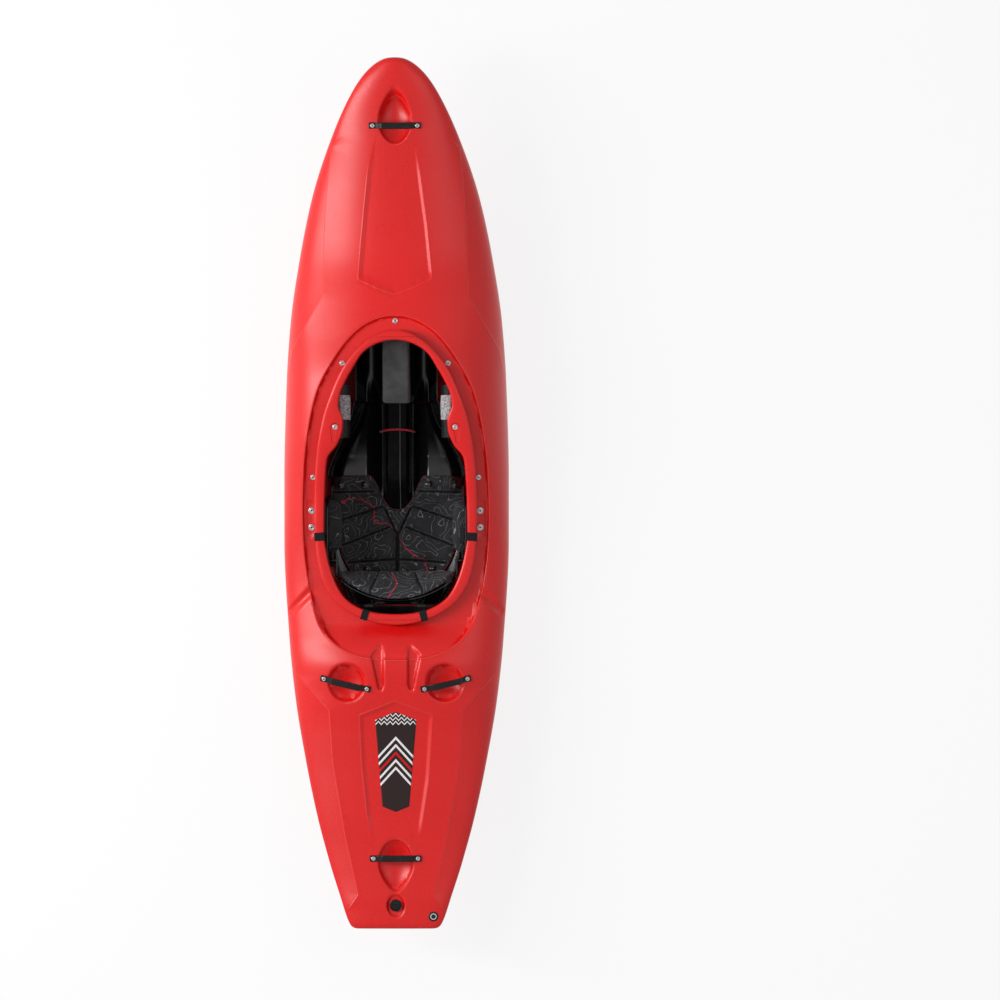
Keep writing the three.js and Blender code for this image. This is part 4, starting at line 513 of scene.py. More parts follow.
def outline_of(table, length, width, front, steps):
    """A closed outline from half widths along a length, clockwise from its front."""
    half = curve_through(table)
    along = (1 - np.cos(np.pi * np.arange(steps + 1) / steps)) / 2
    starboard = np.column_stack([width / 2 * half(along), front - length * along])
    port = starboard[1:-1][::-1] * (-1, 1)
    return np.vstack([starboard, port])


def distance_to(outline, x, y):
    """Signed distance to a closed outline: negative inside."""
    best = np.full(x.shape, np.inf)
    inside = np.zeros(x.shape, bool)
    for (ax, ay), (bx, by) in zip(outline, np.roll(outline, -1, axis=0)):
        dx, dy = bx - ax, by - ay
        q = np.clip(((x - ax) * dx + (y - ay) * dy) / (dx * dx + dy * dy), 0.0, 1.0)
        best = np.minimum(best, np.hypot(x - ax - q * dx, y - ay - q * dy))
        crosses = (ay > y) != (by > y)
        if dy:
            inside ^= crosses & (x < ax + (y - ay) * dx / dy)
    return np.where(inside, -best, best)


def soft_min(a, b, k):
    """The lower of two heights, with a fillet of size k where they meet."""
    h = np.clip(0.5 + 0.5 * (b - a) / k, 0.0, 1.0)
    return b + (a - b) * h - k * h * (1 - h)


# Each outline's length, width and front end. The hollows are given by place, size and depth
trough_outline = outline_of(TROUGH, TROUGH_LENGTH, TROUGH_WIDTH, TROUGH_FRONT, 90)
opening_outline = outline_of(OPENING, 0.851, 0.446, 0.481, 120)
rim_outline = outline_of(RIM, 0.916, 0.506, 0.512, 120)
BOWLS = [
    (0.0, 1.160, 0.0525, 0.078, 0.038), (0.0, -1.150, 0.0555, 0.080, 0.027),
    (0.156, -0.586, 0.0595, 0.0595, 0.038), (-0.156, -0.586, 0.0595, 0.0595, 0.038)]
DRAIN_Y = -1.277


def deck_place(px, py):
    """Where a pixel of the photograph's left view lies on the deck."""
    return (px - MIDDLE_PX) * PIXEL, TOP_Y - PIXEL * py


def pixel_outline(points):
    return np.array([deck_place(px, py) for px, py in points])


BOW_PANEL = pixel_outline([
    (375.8, 138), (369.5, 172.4), (365.7, 208.8), (361.8, 250.9), (359.5, 279.6), (377, 288),
    (394.4, 294.9), (413, 288), (431.7, 278.6), (426.9, 227.9), (421.1, 183.9), (416.4, 145.7)])
STERN_PANEL = pixel_outline([
    (395.1, 701.9), (360, 716), (362.1, 764.8), (367.6, 816.8), (373, 845), (418, 845),
    (420.7, 827.7), (427.8, 780), (431.5, 716.4)])


def crease_line(points):
    """Half widths of a crease down each side of the deck, at places along the boat."""
    x, y = deck_place(*np.array(points).T)
    return np.abs(x)[::-1], y[::-1]


BOW_CREASE = crease_line([
    (341.2, 139.5), (331, 149.5), (325, 220), (322.6, 296.8), (291, 350), (286, 375)])
STERN_CREASE = crease_line([
    (295, 673.7), (328.5, 710.6), (331.8, 762.6), (344.8, 838.5), (357.8, 894.9), (345.9, 912.2)])
WEDGE = pixel_outline([
    (371.2, 655), (380.6, 643.4), (383.0, 646), (383.0, 685), (381.4, 689.5), (378.6, 689.5),
    (377.2, 684)])
GROOVE = np.array([(0.252, -0.286), (0.3262462, -0.3602462)])
RAIL_POCKET = ((0.563, 0.192), (0.622, 0.198))
STERN_DIMPLE = ((-1.173, 0.223), (-1.083, 0.223))


def along_line(ends, x, y):
    """Distance to a straight line between two ends."""
    (ax, ay), (bx, by) = ends
    dx, dy = bx - ax, by - ay
    q = np.clip(((x - ax) * dx + (y - ay) * dy) / (dx * dx + dy * dy), 0.0, 1.0)
    return np.hypot(x - ax - q * dx, y - ay - q * dy)


def crease_distance(x, y):
    """Signed distance to the nearest side crease, outboard positive, and how strong it is there."""
    bow, stern = [], []
    for (half, along), kept in ((BOW_CREASE, bow), (STERN_CREASE, stern)):
        near = np.full(x.shape, np.inf)
        corners = list(zip(half, along))
        for ends in zip(corners, corners[1:]):
            near = np.minimum(near, along_line(ends, np.abs(x), y))
        sign = np.where(np.abs(x) > np.interp(y, along, half), 1.0, -1.0)
        fade = ease(along[0] - 0.004, along[0] + 0.03, y)
        fade = fade * (1 - ease(along[-1] - 0.03, along[-1] + 0.004, y))
        kept.extend((near * sign, fade))
    front = y > 0
    return np.where(front, bow[0], stern[0]), np.where(front, bow[1], stern[1])


CREASE_RISE, CREASE_ROUND, CREASE_SPREAD = 0.0028, 0.0015, 0.02


def creases(x, y):
    """Soft raised shoulders along both sides of the deck."""
    distance, weight = crease_distance(x, y)
    away = np.sqrt(distance ** 2 + CREASE_ROUND ** 2)
    return weight * CREASE_RISE * np.exp(-away / CREASE_SPREAD)


def bowl_reach(x, y, cx, cy, across, along):
    """How far out a place lies in a finger hollow, 1 at its edge. The end hollows are egg-shaped."""
    egg = 0.0 if cx else 0.34
    toward = np.clip((y - cy) / along * np.sign(cy), -0.5, 1.2)
    narrowing = 1 - egg * np.maximum(0.0, toward) ** 1.5
    return np.hypot((x - cx) / (across * narrowing), (y - cy) / along)


PANEL_DEPTH, WEDGE_DEPTH, GROOVE_DEPTH, POCKET_DEPTH, DRAIN_DEPTH = 0.005, 0.014, 0.010, 0.0035, 0.008
POCKET = ((0.268, -0.030), (0.268, -0.115))


def deck_top(x, y):
    """The deck's height with everything pressed into it."""
    z = plain_deck(x, y) + creases(x, y)
    for panel, fade in ((BOW_PANEL, 1 - ease(0.95, 1.12, y)), (STERN_PANEL, ease(-1.09, -0.98, y))):
        z = z - PANEL_DEPTH * fade * (1 - ease(-0.009, 0.0015, distance_to(panel, x, y)))
    for cx, cy, across, along, deep in BOWLS:
        r2 = bowl_reach(x, y, cx, cy, across, along) ** 2
        dish = plain_deck(cx, cy) - deep * np.sqrt(np.clip(1 - r2, 0.0, 1.0))
        dish = dish + 0.09 * np.maximum(0.0, np.sqrt(r2) - 1)
        z = np.where(r2 < 2.0, soft_min(z, dish, 0.0045), z)
    for side in (1, -1):
        away = distance_to(WEDGE * (-side, 1), x, y)
        z = soft_min(z, z - WEDGE_DEPTH + 2.2 * np.maximum(0.0, away + 0.003), 0.003)
        off = along_line(GROOVE * (side, 1), x, y)
        z = soft_min(z, z - GROOVE_DEPTH + 1.2 * np.maximum(0.0, off - 0.006), 0.004)
    away = distance_to(trough_outline, x, y)
    near = away < 0.12
    floor = trough_floor(x, y) + 3.0 * np.maximum(0.0, away + 0.004)
    z = np.where(near, soft_min(z, floor, 0.010), z)
    pocket = along_line(POCKET, np.abs(x), y) - 0.014
    z = z - POCKET_DEPTH * (1 - ease(-0.003, 0.0015, pocket))
    r = np.hypot(x / 0.0255, (y - DRAIN_Y) / 0.033)
    seat = plain_deck(0.0, DRAIN_Y) - DRAIN_DEPTH
    z = np.where(r < 1.6, soft_min(z, seat + 0.03 * np.maximum(0.0, r - 0.9), 0.003), z)
    return z


def rows_along(fine, coarse, zones):
    """Places along the boat, close together in the zones and at both ends."""
    places = [LENGTH / 2]
    while places[-1] > -LENGTH / 2:
        y = places[-1]
        near = max(float(ease(low - 0.05, low, y) * (1 - ease(high, high + 0.05, y)))
                   for low, high in zones)
        end = LENGTH / 2 - abs(y)
        step = coarse + (fine - coarse) * near
        places.append(y - min(step, 0.0007 + 0.22 * end))
        if places[-1] < -LENGTH / 2 + 0.0007:
            break
    places[-1] = -LENGTH / 2
    return np.array(places)


def shell_rings(ys, deck_steps, side_steps, bottom_steps, wall=0.0):
    """Grid of points round the whole shell: deck from port sheer to starboard, then round the hull."""
    flat = np.linspace(0.0, 0.88, deck_steps)
    edge = 0.88 + 0.12 * np.sin(np.linspace(0.0, np.pi / 2, deck_steps // 4))[1:]
    fraction = np.concatenate([flat, edge])
    fraction = np.concatenate([-fraction[1:][::-1], fraction])
    half = half_beam(ys) - wall
    x, y = half[:, None] * fraction, ys[:, None]
    thinning = wall * (1 - np.minimum(1.0, np.abs(fraction)) ** 6)
    deck = grid_of(x, y, deck_top(x * (half + wall)[:, None] / half[:, None], y) - thinning)
    share = share_of(ys)
    keel, sheer = keel_z(ys) + wall, sheer_z(ys)
    chine = keel + chine_rise(share) * (sheer - keel)
    chine_x = half * chine_half(share)
    points = []
    for i in range(1, side_steps + 1):
        q = i / side_steps
        bulge = 0.018 * half * np.sin(np.pi * q)
        points.append((half + (chine_x - half) * q + bulge, sheer + (chine - sheer) * q))
    flat = flat_share(share)
    for i in range(1, bottom_steps + 1):
        r = 1 - i / bottom_steps
        q = np.maximum(0.0, (r - flat) / (1 - flat))
        points.append((chine_x * r, keel + (chine - keel) * q * q))
    side = np.stack([grid_of(px, ys, pz) for px, pz in points], axis=1)
    port = side[:, :-1][:, ::-1] * (-1, 1, 1)
    return np.concatenate([deck, side, port], axis=1), len(fraction)


def grid_of(x, y, z):
    """A grid of points from their coordinates, any of which may be one row or one column."""
    return np.stack(np.broadcast_arrays(x, y, z), -1)


def mesh_of(name, points, edges=(), faces=()):
    mesh = bpy.data.meshes.new(name)
    mesh.from_pydata(np.asarray(points, float).reshape(-1, 3).tolist(), edges, faces)
    return shaded(mesh)


def shaded(mesh):
    mesh.polygons.foreach_set("use_smooth", [True] * len(mesh.polygons))
    return mesh


def placed(name, mesh):
    made = bpy.data.objects.new(name, mesh)
    put_in_scene(made)
    return made


def riding(made, body):
    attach(made, body)
    return made


def piece(name, points, faces, body, material, slot):
    mesh = mesh_of(name, points, (), faces)
    mesh.materials.append(material)
    mesh.update()
    return riding(placed(name, mesh), body)


def points_of(made):
    spots = np.empty(len(made.data.vertices) * 3)
    made.data.vertices.foreach_get("co", spots)
    return spots.reshape(-1, 3)


def move_points(made, spots):
    made.data.vertices.foreach_set("co", spots.ravel())
    made.data.update()


def mark(made, name, values):
    """Keeps a number for each point of a piece, for its material."""
    layer = made.data.attributes.new(name, "FLOAT", "POINT")
    layer.data.foreach_set("value", np.asarray(values, np.float32).ravel())


def plate(top, bottom):
    """Points and faces of a closed sheet between two grids."""
    rows, columns = top.shape[:2]
    count = rows * columns
    upper = quads(rows, columns)
    faces = upper + [tuple(count + i for i in reversed(f)) for f in upper]
    rim = list(range(columns)) + [r * columns + columns - 1 for r in range(1, rows)]
    rim += [(rows - 1) * columns + c for c in range(columns - 2, -1, -1)]
    rim += [r * columns for r in range(rows - 2, 0, -1)]
    for a, b in zip(rim, rim[1:] + rim[:1]):
        faces.append((b, a, count + a, count + b))
    return np.concatenate([top.reshape(-1, 3), bottom.reshape(-1, 3)]), faces


def outwards(made, inward=False):
    """Turns a piece's faces so that they point out of it."""
    mesh = made.data
    mesh.calc_loop_triangles()
    corners = np.empty(len(mesh.loop_triangles) * 3, int)
    mesh.loop_triangles.foreach_get("vertices", corners)
    a, b, c = points_of(made)[corners.reshape(-1, 3)].transpose(1, 0, 2)
    volume = np.einsum("ij,ij->i", a, np.cross(b, c)).sum()
    if (volume < 0) != inward:
        mesh.flip_normals()
    return made


def quads(rows, columns, round_columns=False, round_rows=False, turned=False):
    """Faces of a grid of points."""
    faces = []
    for r in range(rows if round_rows else rows - 1):
        for c in range(columns if round_columns else columns - 1):
            a, b = r * columns + c, r * columns + (c + 1) % columns
            e, d = (r + 1) % rows * columns + c, (r + 1) % rows * columns + (c + 1) % columns
            faces.append((a, e, d, b) if turned else (a, b, d, e))
    return faces


def open_faces(rings, deck_count, margin, turned=False):
    """Faces of the shell's grid, without those that reach into the cockpit's opening."""
    rows, columns = rings.shape[:2]
    x, y, _ = rings.reshape(-1, 3).T
    on_deck = np.tile(np.arange(columns) < deck_count, rows)
    gone = on_deck & (distance_to(opening_outline, x, y) < margin)
    grid = quads(rows, columns, round_columns=True, turned=turned)
    return [face for face in grid if not any(gone[i] for i in face)]


def shell_skin():
    """The shell as it is seen: one skin over both halves, with the distances its material reads."""
    ys = rows_along(0.0046, 0.013, [(-1.31, -1.06), (-0.68, 0.58), (1.07, 1.25)])
    rings, deck_count = shell_rings(ys, 68, 9, 9)
    rows, columns = rings.shape[:2]
    faces = open_faces(rings, deck_count, 0.0015, turned=True)
    faces.append(tuple(range(columns)))
    faces.append(tuple(reversed(range((rows - 1) * columns, rows * columns))))
    made = piece("shell_skin", rings, faces, "boat", DECK_RED, "red_plastic")
    drop_loose(made)
    spots = points_of(made)
    x, y, z = spots.T
    top = z > sheer_z(y)
    # Distances to the creases and edges where the deck material paints its pale highlight lines and
    # bumps.
    crease, weight = crease_distance(x, y)
    edges = distance_to(trough_outline, x, y)
    shown = np.ones(len(spots))
    others = [(distance_to(BOW_PANEL, x, y), 0.5 - 0.5 * ease(0.93, 1.05, y)),
              (distance_to(STERN_PANEL, x, y), 0.5 - 0.5 * (1 - ease(-1.07, -0.96, y)))]
    # A hollow's painted highlight is stronger on its starboard side, the wall that faces the lamp.
    for cx, cy, across, along, _ in BOWLS:
        others.append(((bowl_reach(x, y, cx, cy, across, along) - 1) * across + 0.0035,
                       0.35 + 0.65 * ease(cx - 0.01, cx + 0.02, x)))
    for away, strength in others:
        nearer = np.abs(away - EDGE_INSET) < np.abs(edges - EDGE_INSET)
        edges, shown = np.where(nearer, away, edges), np.where(nearer, strength, shown)
    side = np.minimum(along_line(RAIL_POCKET, y, z) - 0.0155, along_line(STERN_DIMPLE, y, z) - 0.013)
    mark(made, "crease", crease)
    mark(made, "crease_weight", np.where(top, weight, 0.0))
    mark(made, "edge", np.where(top, edges, side))
    mark(made, "edge_weight", np.where(top, shown, 1.0))
    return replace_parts(made, "hull_shell", "deck_shell")


def drop_loose(made):
    """Takes out points that no face uses."""
    mesh = made.data
    used = np.zeros(len(mesh.vertices), bool)
    loops = np.empty(len(mesh.loops), int)
    mesh.loops.foreach_get("vertex_index", loops)
    used[loops] = True
    keep = np.cumsum(used) - 1
    points = points_of(made)[used]
    faces = [tuple(int(keep[v]) for v in p.vertices) for p in mesh.polygons]
    material = mesh.materials[0]
    mesh.clear_geometry()
    mesh.from_pydata(points.tolist(), [], faces)
    shaded(mesh)
    mesh.materials.clear()
    mesh.materials.append(material)
    mesh.update()


def shell_lining():
    """The shell's inner wall, coarser, as seen through the cockpit."""
    ys = rows_along(0.022, 0.04, [(-0.5, 0.6)])
    ys = ys[(ys < 1.29) & (ys > -1.30)]
    rings, deck_count = shell_rings(ys, 20, 6, 8, WALL)
    faces = open_faces(rings, deck_count, 0.004)
    made = piece("shell_lining", rings, faces, "boat", RED, "red_plastic")
    drop_loose(made)
    return outwards(made, inward=True)


def rim_piece():
    """The rim's wall, its lip and the soft foot where it grows out of the trough."""
    way = rim_outline - opening_outline
    width = np.hypot(*way.T)
    way = way / width[:, None]
    rings = []
    for (x, y), (dx, dy), w in zip(opening_outline, way, width):
        def at(u, drop=None, lift=0.0):
            px, py = x + dx * u, y + dy * u
            if drop is None:
                return px, py, float(trough_floor(px, py)) + lift
            return px, py, float(rim_top_z(py)) - drop

        inner = w - 0.006
        rings.append([
            at(0.020, lift=0.0004), at(0.0135, lift=0.0012), at(0.0095, lift=0.0035),
            at(0.0070, lift=0.008), at(0.0060, 0.015), at(0.0064, 0.0105), at(0.0085, 0.0078),
            at(0.012, 0.0068), at(inner - 0.003, 0.0066), at(inner - 0.0008, 0.0078),
            at(inner, 0.0105), at(inner, 0.0155), at(inner + 0.0012, 0.0176),
            at(inner + 0.003, 0.0182), at(inner + 0.0049, 0.0174), at(w, 0.0152), at(w, 0.0065),
            at(w - 0.0006, 0.0038), at(w - 0.0022, 0.0016), at(w - 0.0046, 0.0004),
            at(w - 0.008, -0.0003), at(w / 2, -0.0006), at(0.008, -0.0003), at(0.0046, 0.0004),
            at(0.0022, 0.0016), at(0.0006, 0.0038), at(0.0, 0.0065), at(0.0, 0.018),
            at(0.0, lift=0.0), at(0.0, lift=-0.008), at(0.004, lift=-0.010), at(0.012, lift=-0.008)])
    rings = np.array(rings)
    count, size = rings.shape[:2]
    made = piece("rim", rings, quads(count, size, True, True), "boat", RIM_RED, "red_plastic")
    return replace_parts(outwards(made), "cockpit_rim")


shell_skin()
shell_lining()
rim_piece()

# What shows through the cockpit. The seat's form follows the same sizes as its solid
PAN_FRONT, PAN_REAR, PAN_WIDTH, PAN_WALL = 0.300, -0.345, 0.424, 0.005
RIDGE_HALF, RIDGE_SEAM = 0.045, 0.009
PAD_FRONT, PAD_REAR, PAD_WIDTH = 0.064, -0.255, 0.420
NOTCH_HALF, NOTCH_DEPTH = 0.087, 0.107
EDGE_RISE, THIGH_RISE, RIDGE_RISE, SEAM_RISE = 0.045, 0.085, 0.095, 0.0010
CHEEK_INNER, CHEEK_FACE, SHELF_INNER, BOSS_INNER = 0.215, 0.2149, 0.203, 0.184
BAND_HALF, BAND_FACE, BAND_Z, BAND_BOW, BAND_PANEL = 0.1848, -0.2455, 0.190, 0.0775, 0.066
pan_half_share = curve_through([
    (0, 0.46), (0.1, 0.6), (0.27, 0.9), (0.37, 1), (0.55, 1), (0.68, 0.97), (0.8, 0.9), (0.9, 0.8),
    (1, 0.6)])
pad_half_share = curve_through([
    (0, 0.93), (0.06, 1), (0.2, 0.985), (0.4, 0.95), (0.635, 0.888), (0.78, 0.838), (0.918, 0.735),
    (1, 0.6)])
CHANNELS = [
    ((0.965, 0.167), (0.326, 0.157)), ((0.845, 0.442), (0.224, 0.307)),
    ((0.829, 0.694), (0.124, 0.514)), ((0.733, 0.868), (0.03, 0.834)),
    ((0.19, 0.335), (0.012, 0.583)), ((0.012, 0.583), (0.012, 0.96))]


def soft_max(a, b, k):
    """The higher of two heights, filleted where they cross and true where both are low."""
    return -soft_min(-a, -b, k) - k / 4 * (1 - ease(0.0, k, np.maximum(a, b)))


def pan_half(y):
    return PAN_WIDTH / 2 * pan_half_share((PAN_FRONT - y) / (PAN_FRONT - PAN_REAR))


def pan_top(x, y):
    """The seat's upper face: the hull's form, raised sides, thigh lobes and the ridge."""
    keel = np.maximum(keel_z(y + 0.025), keel_z(y - 0.025))
    relief = 0.002 * (1 - ease(-0.126, -0.122, y) * (1 - ease(0.122, 0.126, y)))
    base = keel + WALL + 0.0003 + PAN_WALL + relief
    out = np.abs(x) / pan_half(y)
    edge = EDGE_RISE * ease(0.5, 1.0, out) * (1 - ease(0.050, PAN_FRONT, y))
    lobe = ease(RIDGE_HALF, 0.100, np.abs(x)) * (1 - ease(0.8, 1.0, out) / 2)
    thigh = THIGH_RISE * ease(-0.040, 0.050, y) * (1 - 0.66 * ease(0.070, 0.300, y)) * lobe
    crown = 1 - 0.05 * np.minimum(1.0, np.abs(x) / RIDGE_HALF) ** 2
    flank = 1 - ease(RIDGE_HALF - 0.017, RIDGE_HALF + 0.002, np.abs(x))
    ridge = RIDGE_RISE - 0.003 * ease(0.235, 0.262, y)
    ridge = ridge * crown * ease(-0.055, 0.075, y) * flank
    seam = SEAM_RISE * np.exp(-((x - RIDGE_SEAM) / 0.0012) ** 2)
    seam = seam * ease(-0.06, 0.0, y) * (1 - ease(0.250, 0.258, y))
    return base + soft_max(soft_max(edge, thigh, 0.012), ridge, 0.010) + seam


def join(blocks):
    """Several closed bodies as the points and faces of one mesh."""
    points, faces, start = [], [], 0
    for more, turns in blocks:
        points.append(np.asarray(more, float).reshape(-1, 3))
        faces.extend(tuple(start + i for i in f) for f in turns)
        start += len(points[-1])
    return np.concatenate(points), faces


def finish(made, bevel=None, rounds=0, voxel=None, smooth=0):
    """Bevels, remeshes, smooths or subdivides a piece and keeps the result as its mesh."""
    if bevel:
        edge = made.modifiers.new("bevel", "BEVEL")
        edge.width, edge.segments, edge.limit_method, edge.angle_limit = *bevel, "ANGLE", 0.6
    if voxel:
        grid = made.modifiers.new("remesh", "REMESH")
        grid.mode, grid.voxel_size = "VOXEL", voxel
    if smooth:
        soft = made.modifiers.new("smooth", "SMOOTH")
        soft.factor, soft.iterations = 0.5, smooth
    if rounds:
        fine = made.modifiers.new("subdivide", "SUBSURF")
        fine.levels = fine.render_levels = rounds
    return baked(made)


def baked(made):
    """Keeps what a piece's modifiers make as its plain mesh."""
    graph = bpy.context.evaluated_depsgraph_get()
    graph.update()
    result = bpy.data.meshes.new_from_object(made.evaluated_get(graph))
    made.modifiers.clear()
    made.data = result
    shaded(result)
    return made


SWELL_FRAMES = 20


def swelled(made, voxel, cap, held, weight):
    """Lets a cushion swell under pressure as cloth, and keeps that much of it that its seams allow."""
    trial = placed(made.name + "_trial", made.data.copy())
    finish(trial, voxel=voxel)
    start = points_of(trial).copy()
    pins = trial.vertex_groups.new(name="held")
    pins.add([int(i) for i in np.flatnonzero(held(*start.T))], 1.0, "REPLACE")
    cloth = trial.modifiers.new("cloth", "CLOTH")
    how = cloth.settings
    how.quality, how.use_pressure, how.uniform_pressure_force = 4, True, 4.0
    how.effector_weights.gravity, how.vertex_group_mass = 0.0, "held"
    cloth.point_cache.frame_start, cloth.point_cache.frame_end = 1, SWELL_FRAMES
    for number in range(1, SWELL_FRAMES + 1):
        scene.frame_set(number)
    swollen = trial.evaluated_get(bpy.context.evaluated_depsgraph_get()).data
    ends = np.empty(len(swollen.vertices) * 3)
    swollen.vertices.foreach_get("co", ends)
    shift = ends.reshape(-1, 3) - start
    scene.frame_set(1)
    bpy.data.objects.remove(trial)
    reach = np.linalg.norm(shift, axis=1)
    shift *= (np.minimum(reach, cap) / np.maximum(reach, 1e-9))[:, None]
    tree = KDTree(len(start))
    for i, spot in enumerate(start):
        tree.insert(spot, i)
    tree.balance()
    spots = points_of(made).copy()
    moved = np.zeros_like(spots)
    for i, spot in enumerate(spots):
        near = tree.find_n(spot, 6)
        share = np.array([1 / (0.002 + away) for _, _, away in near])
        moved[i] = share @ shift[[index for _, index, _ in near]] / share.sum()
    move_points(made, spots + moved * weight(*spots.T)[:, None])
    return made


def box_of(x, y):
    return [(-x, -y), (x, -y), (x, y), (-x, y)]


def extruded(outline, axis, low, high):
    """A closed plate from an outline, pushed along an axis."""
    outline = np.asarray(outline, float)
    count = len(outline)
    ends = [np.insert(outline, axis, level, axis=1) for level in (low, high)]
    faces = [tuple(range(count)), tuple(count + i for i in reversed(range(count)))]
    faces += [(i, count + i, count + (i + 1) % count, (i + 1) % count) for i in range(count)]
    return np.concatenate(ends), faces


def rounded_outline(corners, radius, steps=6):
    """Corners of a plate with each corner turned on a radius."""
    corners = np.asarray(corners, float)
    made = []
    for before, here, after in zip(np.roll(corners, 1, 0), corners, np.roll(corners, -1, 0)):
        a, b = before - here, after - here
        reach = min(radius, 0.45 * np.hypot(*a), 0.45 * np.hypot(*b))
        a, b = here + a / np.hypot(*a) * reach, here + b / np.hypot(*b) * reach
        for q in np.linspace(0.0, 1.0, steps):
            made.append((1 - q) ** 2 * a + 2 * q * (1 - q) * here + q * q * b)
    return np.array(made)


def round_of(radius, cx, cy, steps):
    turns = np.linspace(0, 2 * math.pi, steps + 1)[:-1]
    return [(cx + radius * math.cos(t), cy + radius * math.sin(t)) for t in turns]


def smoothed(values, rounds):
    for _ in range(rounds):
        values[1:-1] = (values[:-2] + 2 * values[1:-1] + values[2:]) / 4
    return values


def resampled(line, count):
    """The columns of a line of places, at more or fewer steps along it."""
    line = np.array(line)
    steps = np.linspace(0, len(line) - 1, count)
    return [np.interp(steps, range(len(line)), column) for column in line.T]


def normals_of(line):
    """The direction square to a flat line at each of its places."""
    tangent = np.gradient(line, axis=0)
    normal = np.column_stack([-tangent[:, 1], tangent[:, 0]])
    return normal / np.hypot(*normal.T)[:, None]


def seat_moulding():
    """The pan with its ridge and thigh lobes, the hip cheeks, their shelves and the band's bosses."""
    rows = np.concatenate([
        np.linspace(PAN_FRONT - 0.0045, 0.24, 8), np.linspace(0.234, -0.06, 62),
        np.linspace(-0.068, PAN_REAR, 40)])
    inner = np.concatenate([np.linspace(0, 0.032, 10), np.linspace(0.0335, 0.056, 18)])
    out = np.linspace(0.0, 1.0, 46)[1:]
    y = rows[:, None]
    right = inner[-1] + (pan_half(y) - inner[-1]) * out
    right = np.hstack([np.tile(inner, (len(rows), 1)), right])
    x = np.hstack([-right[:, :0:-1], right])
    top = grid_of(x, y, pan_top(x, y))
    blocks = [plate(top, top - (0, 0, PAN_WALL))]
    cheek = rounded_outline([
        (-0.225, 0.040), (0.0, 0.040), (0.0, 0.150), (-0.028, 0.205), (-0.178, 0.205), (-0.225, 0.175)],
        0.030)
    shelf = [(-0.225, 0.040), (0.0, 0.040), (0.0, 0.052), (-0.225, 0.052)]
    boss = round_of(0.006, -0.205, 0.150, 24)
    for turn in (1, -1):
        for outline, near, far in ((cheek, CHEEK_INNER, CHEEK_INNER + PAN_WALL),
                                   (shelf, SHELF_INNER, CHEEK_FACE), (boss, BOSS_INNER, CHEEK_FACE)):
            blocks.append(extruded(outline, 0, *sorted((turn * near, turn * far))))
    made = recalculated(piece("seat_moulding", *join(blocks), "seat", SEAT_BLACK, "seat_plastic"))
    finish(made, bevel=(0.0016, 2))
    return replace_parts(made, "seat_pan")


def reworked(made, operation, **choices):
    """Runs one mesh operation on a piece."""
    solid = bmesh.new()
    solid.from_mesh(made.data)
    operation(solid, **{key: getattr(solid, part) if isinstance(part, str) else part
                        for key, part in choices.items()})
    solid.to_mesh(made.data)
    solid.free()
    return made


def recalculated(made):
    """Points every closed body's faces out of it."""
    return reworked(made, bmesh.ops.recalc_face_normals, faces="faces")


def pad_front_edge(x):
    """The seat cushion's front edge, with its notch for the ridge."""
    q = np.minimum(1.0, np.abs(x) / NOTCH_HALF)
    corner = np.maximum(0.0, (np.abs(x) - 0.160) / 0.036)
    return PAD_FRONT - NOTCH_DEPTH * (1 - ease(0.0, 1.0, q ** 1.5)) - 0.020 * corner ** 2.5


def pad_place(x_share, y_share):
    return x_share * PAD_WIDTH / 2, PAD_FRONT - y_share * (PAD_FRONT - PAD_REAR)


SEAMS = [(pad_place(*a), pad_place(*b)) for a, b in CHANNELS]


def seam_distance(x, y):
    away = np.full(np.shape(x), np.inf)
    for ends in SEAMS:
        away = np.minimum(away, along_line(ends, np.abs(x), y))
    return away


def pad_point(row, column):
    """A place on the seat cushion, and how near its edge it lies, from 0 to 1."""
    half = PAD_WIDTH / 2 * pad_half_share(row)
    x = half * column
    front = pad_front_edge(x)
    y = front - (front - PAD_REAR) * row
    return x, y, np.maximum(np.abs(column), np.abs(2 * row - 1))


BUTTONS = [deck_place(px, py) for px, py in (
    (337.9, 484.7), (363.1, 484.1), (427.9, 484.1), (454.3, 484.7), (364.3, 570.8), (431.9, 570.2))]


def button_distance(x, y):
    return np.maximum(0.011, np.min([np.hypot(x - bx, y - by) for bx, by in BUTTONS], axis=0))


def seat_give(x, y, z):
    """How far the seat cushion may swell: not at its seams and under its buttons."""
    near = np.minimum(seam_distance(x, y), button_distance(x, y) - 0.011)
    return 1 - np.exp(-(near / 0.009) ** 2)


CUSHION_LIFT, CUSHION_CROWN, CUSHION_PUFF, CHANNEL_DEPTH = 0.0073, 0.01312, 0.006, 0.0105


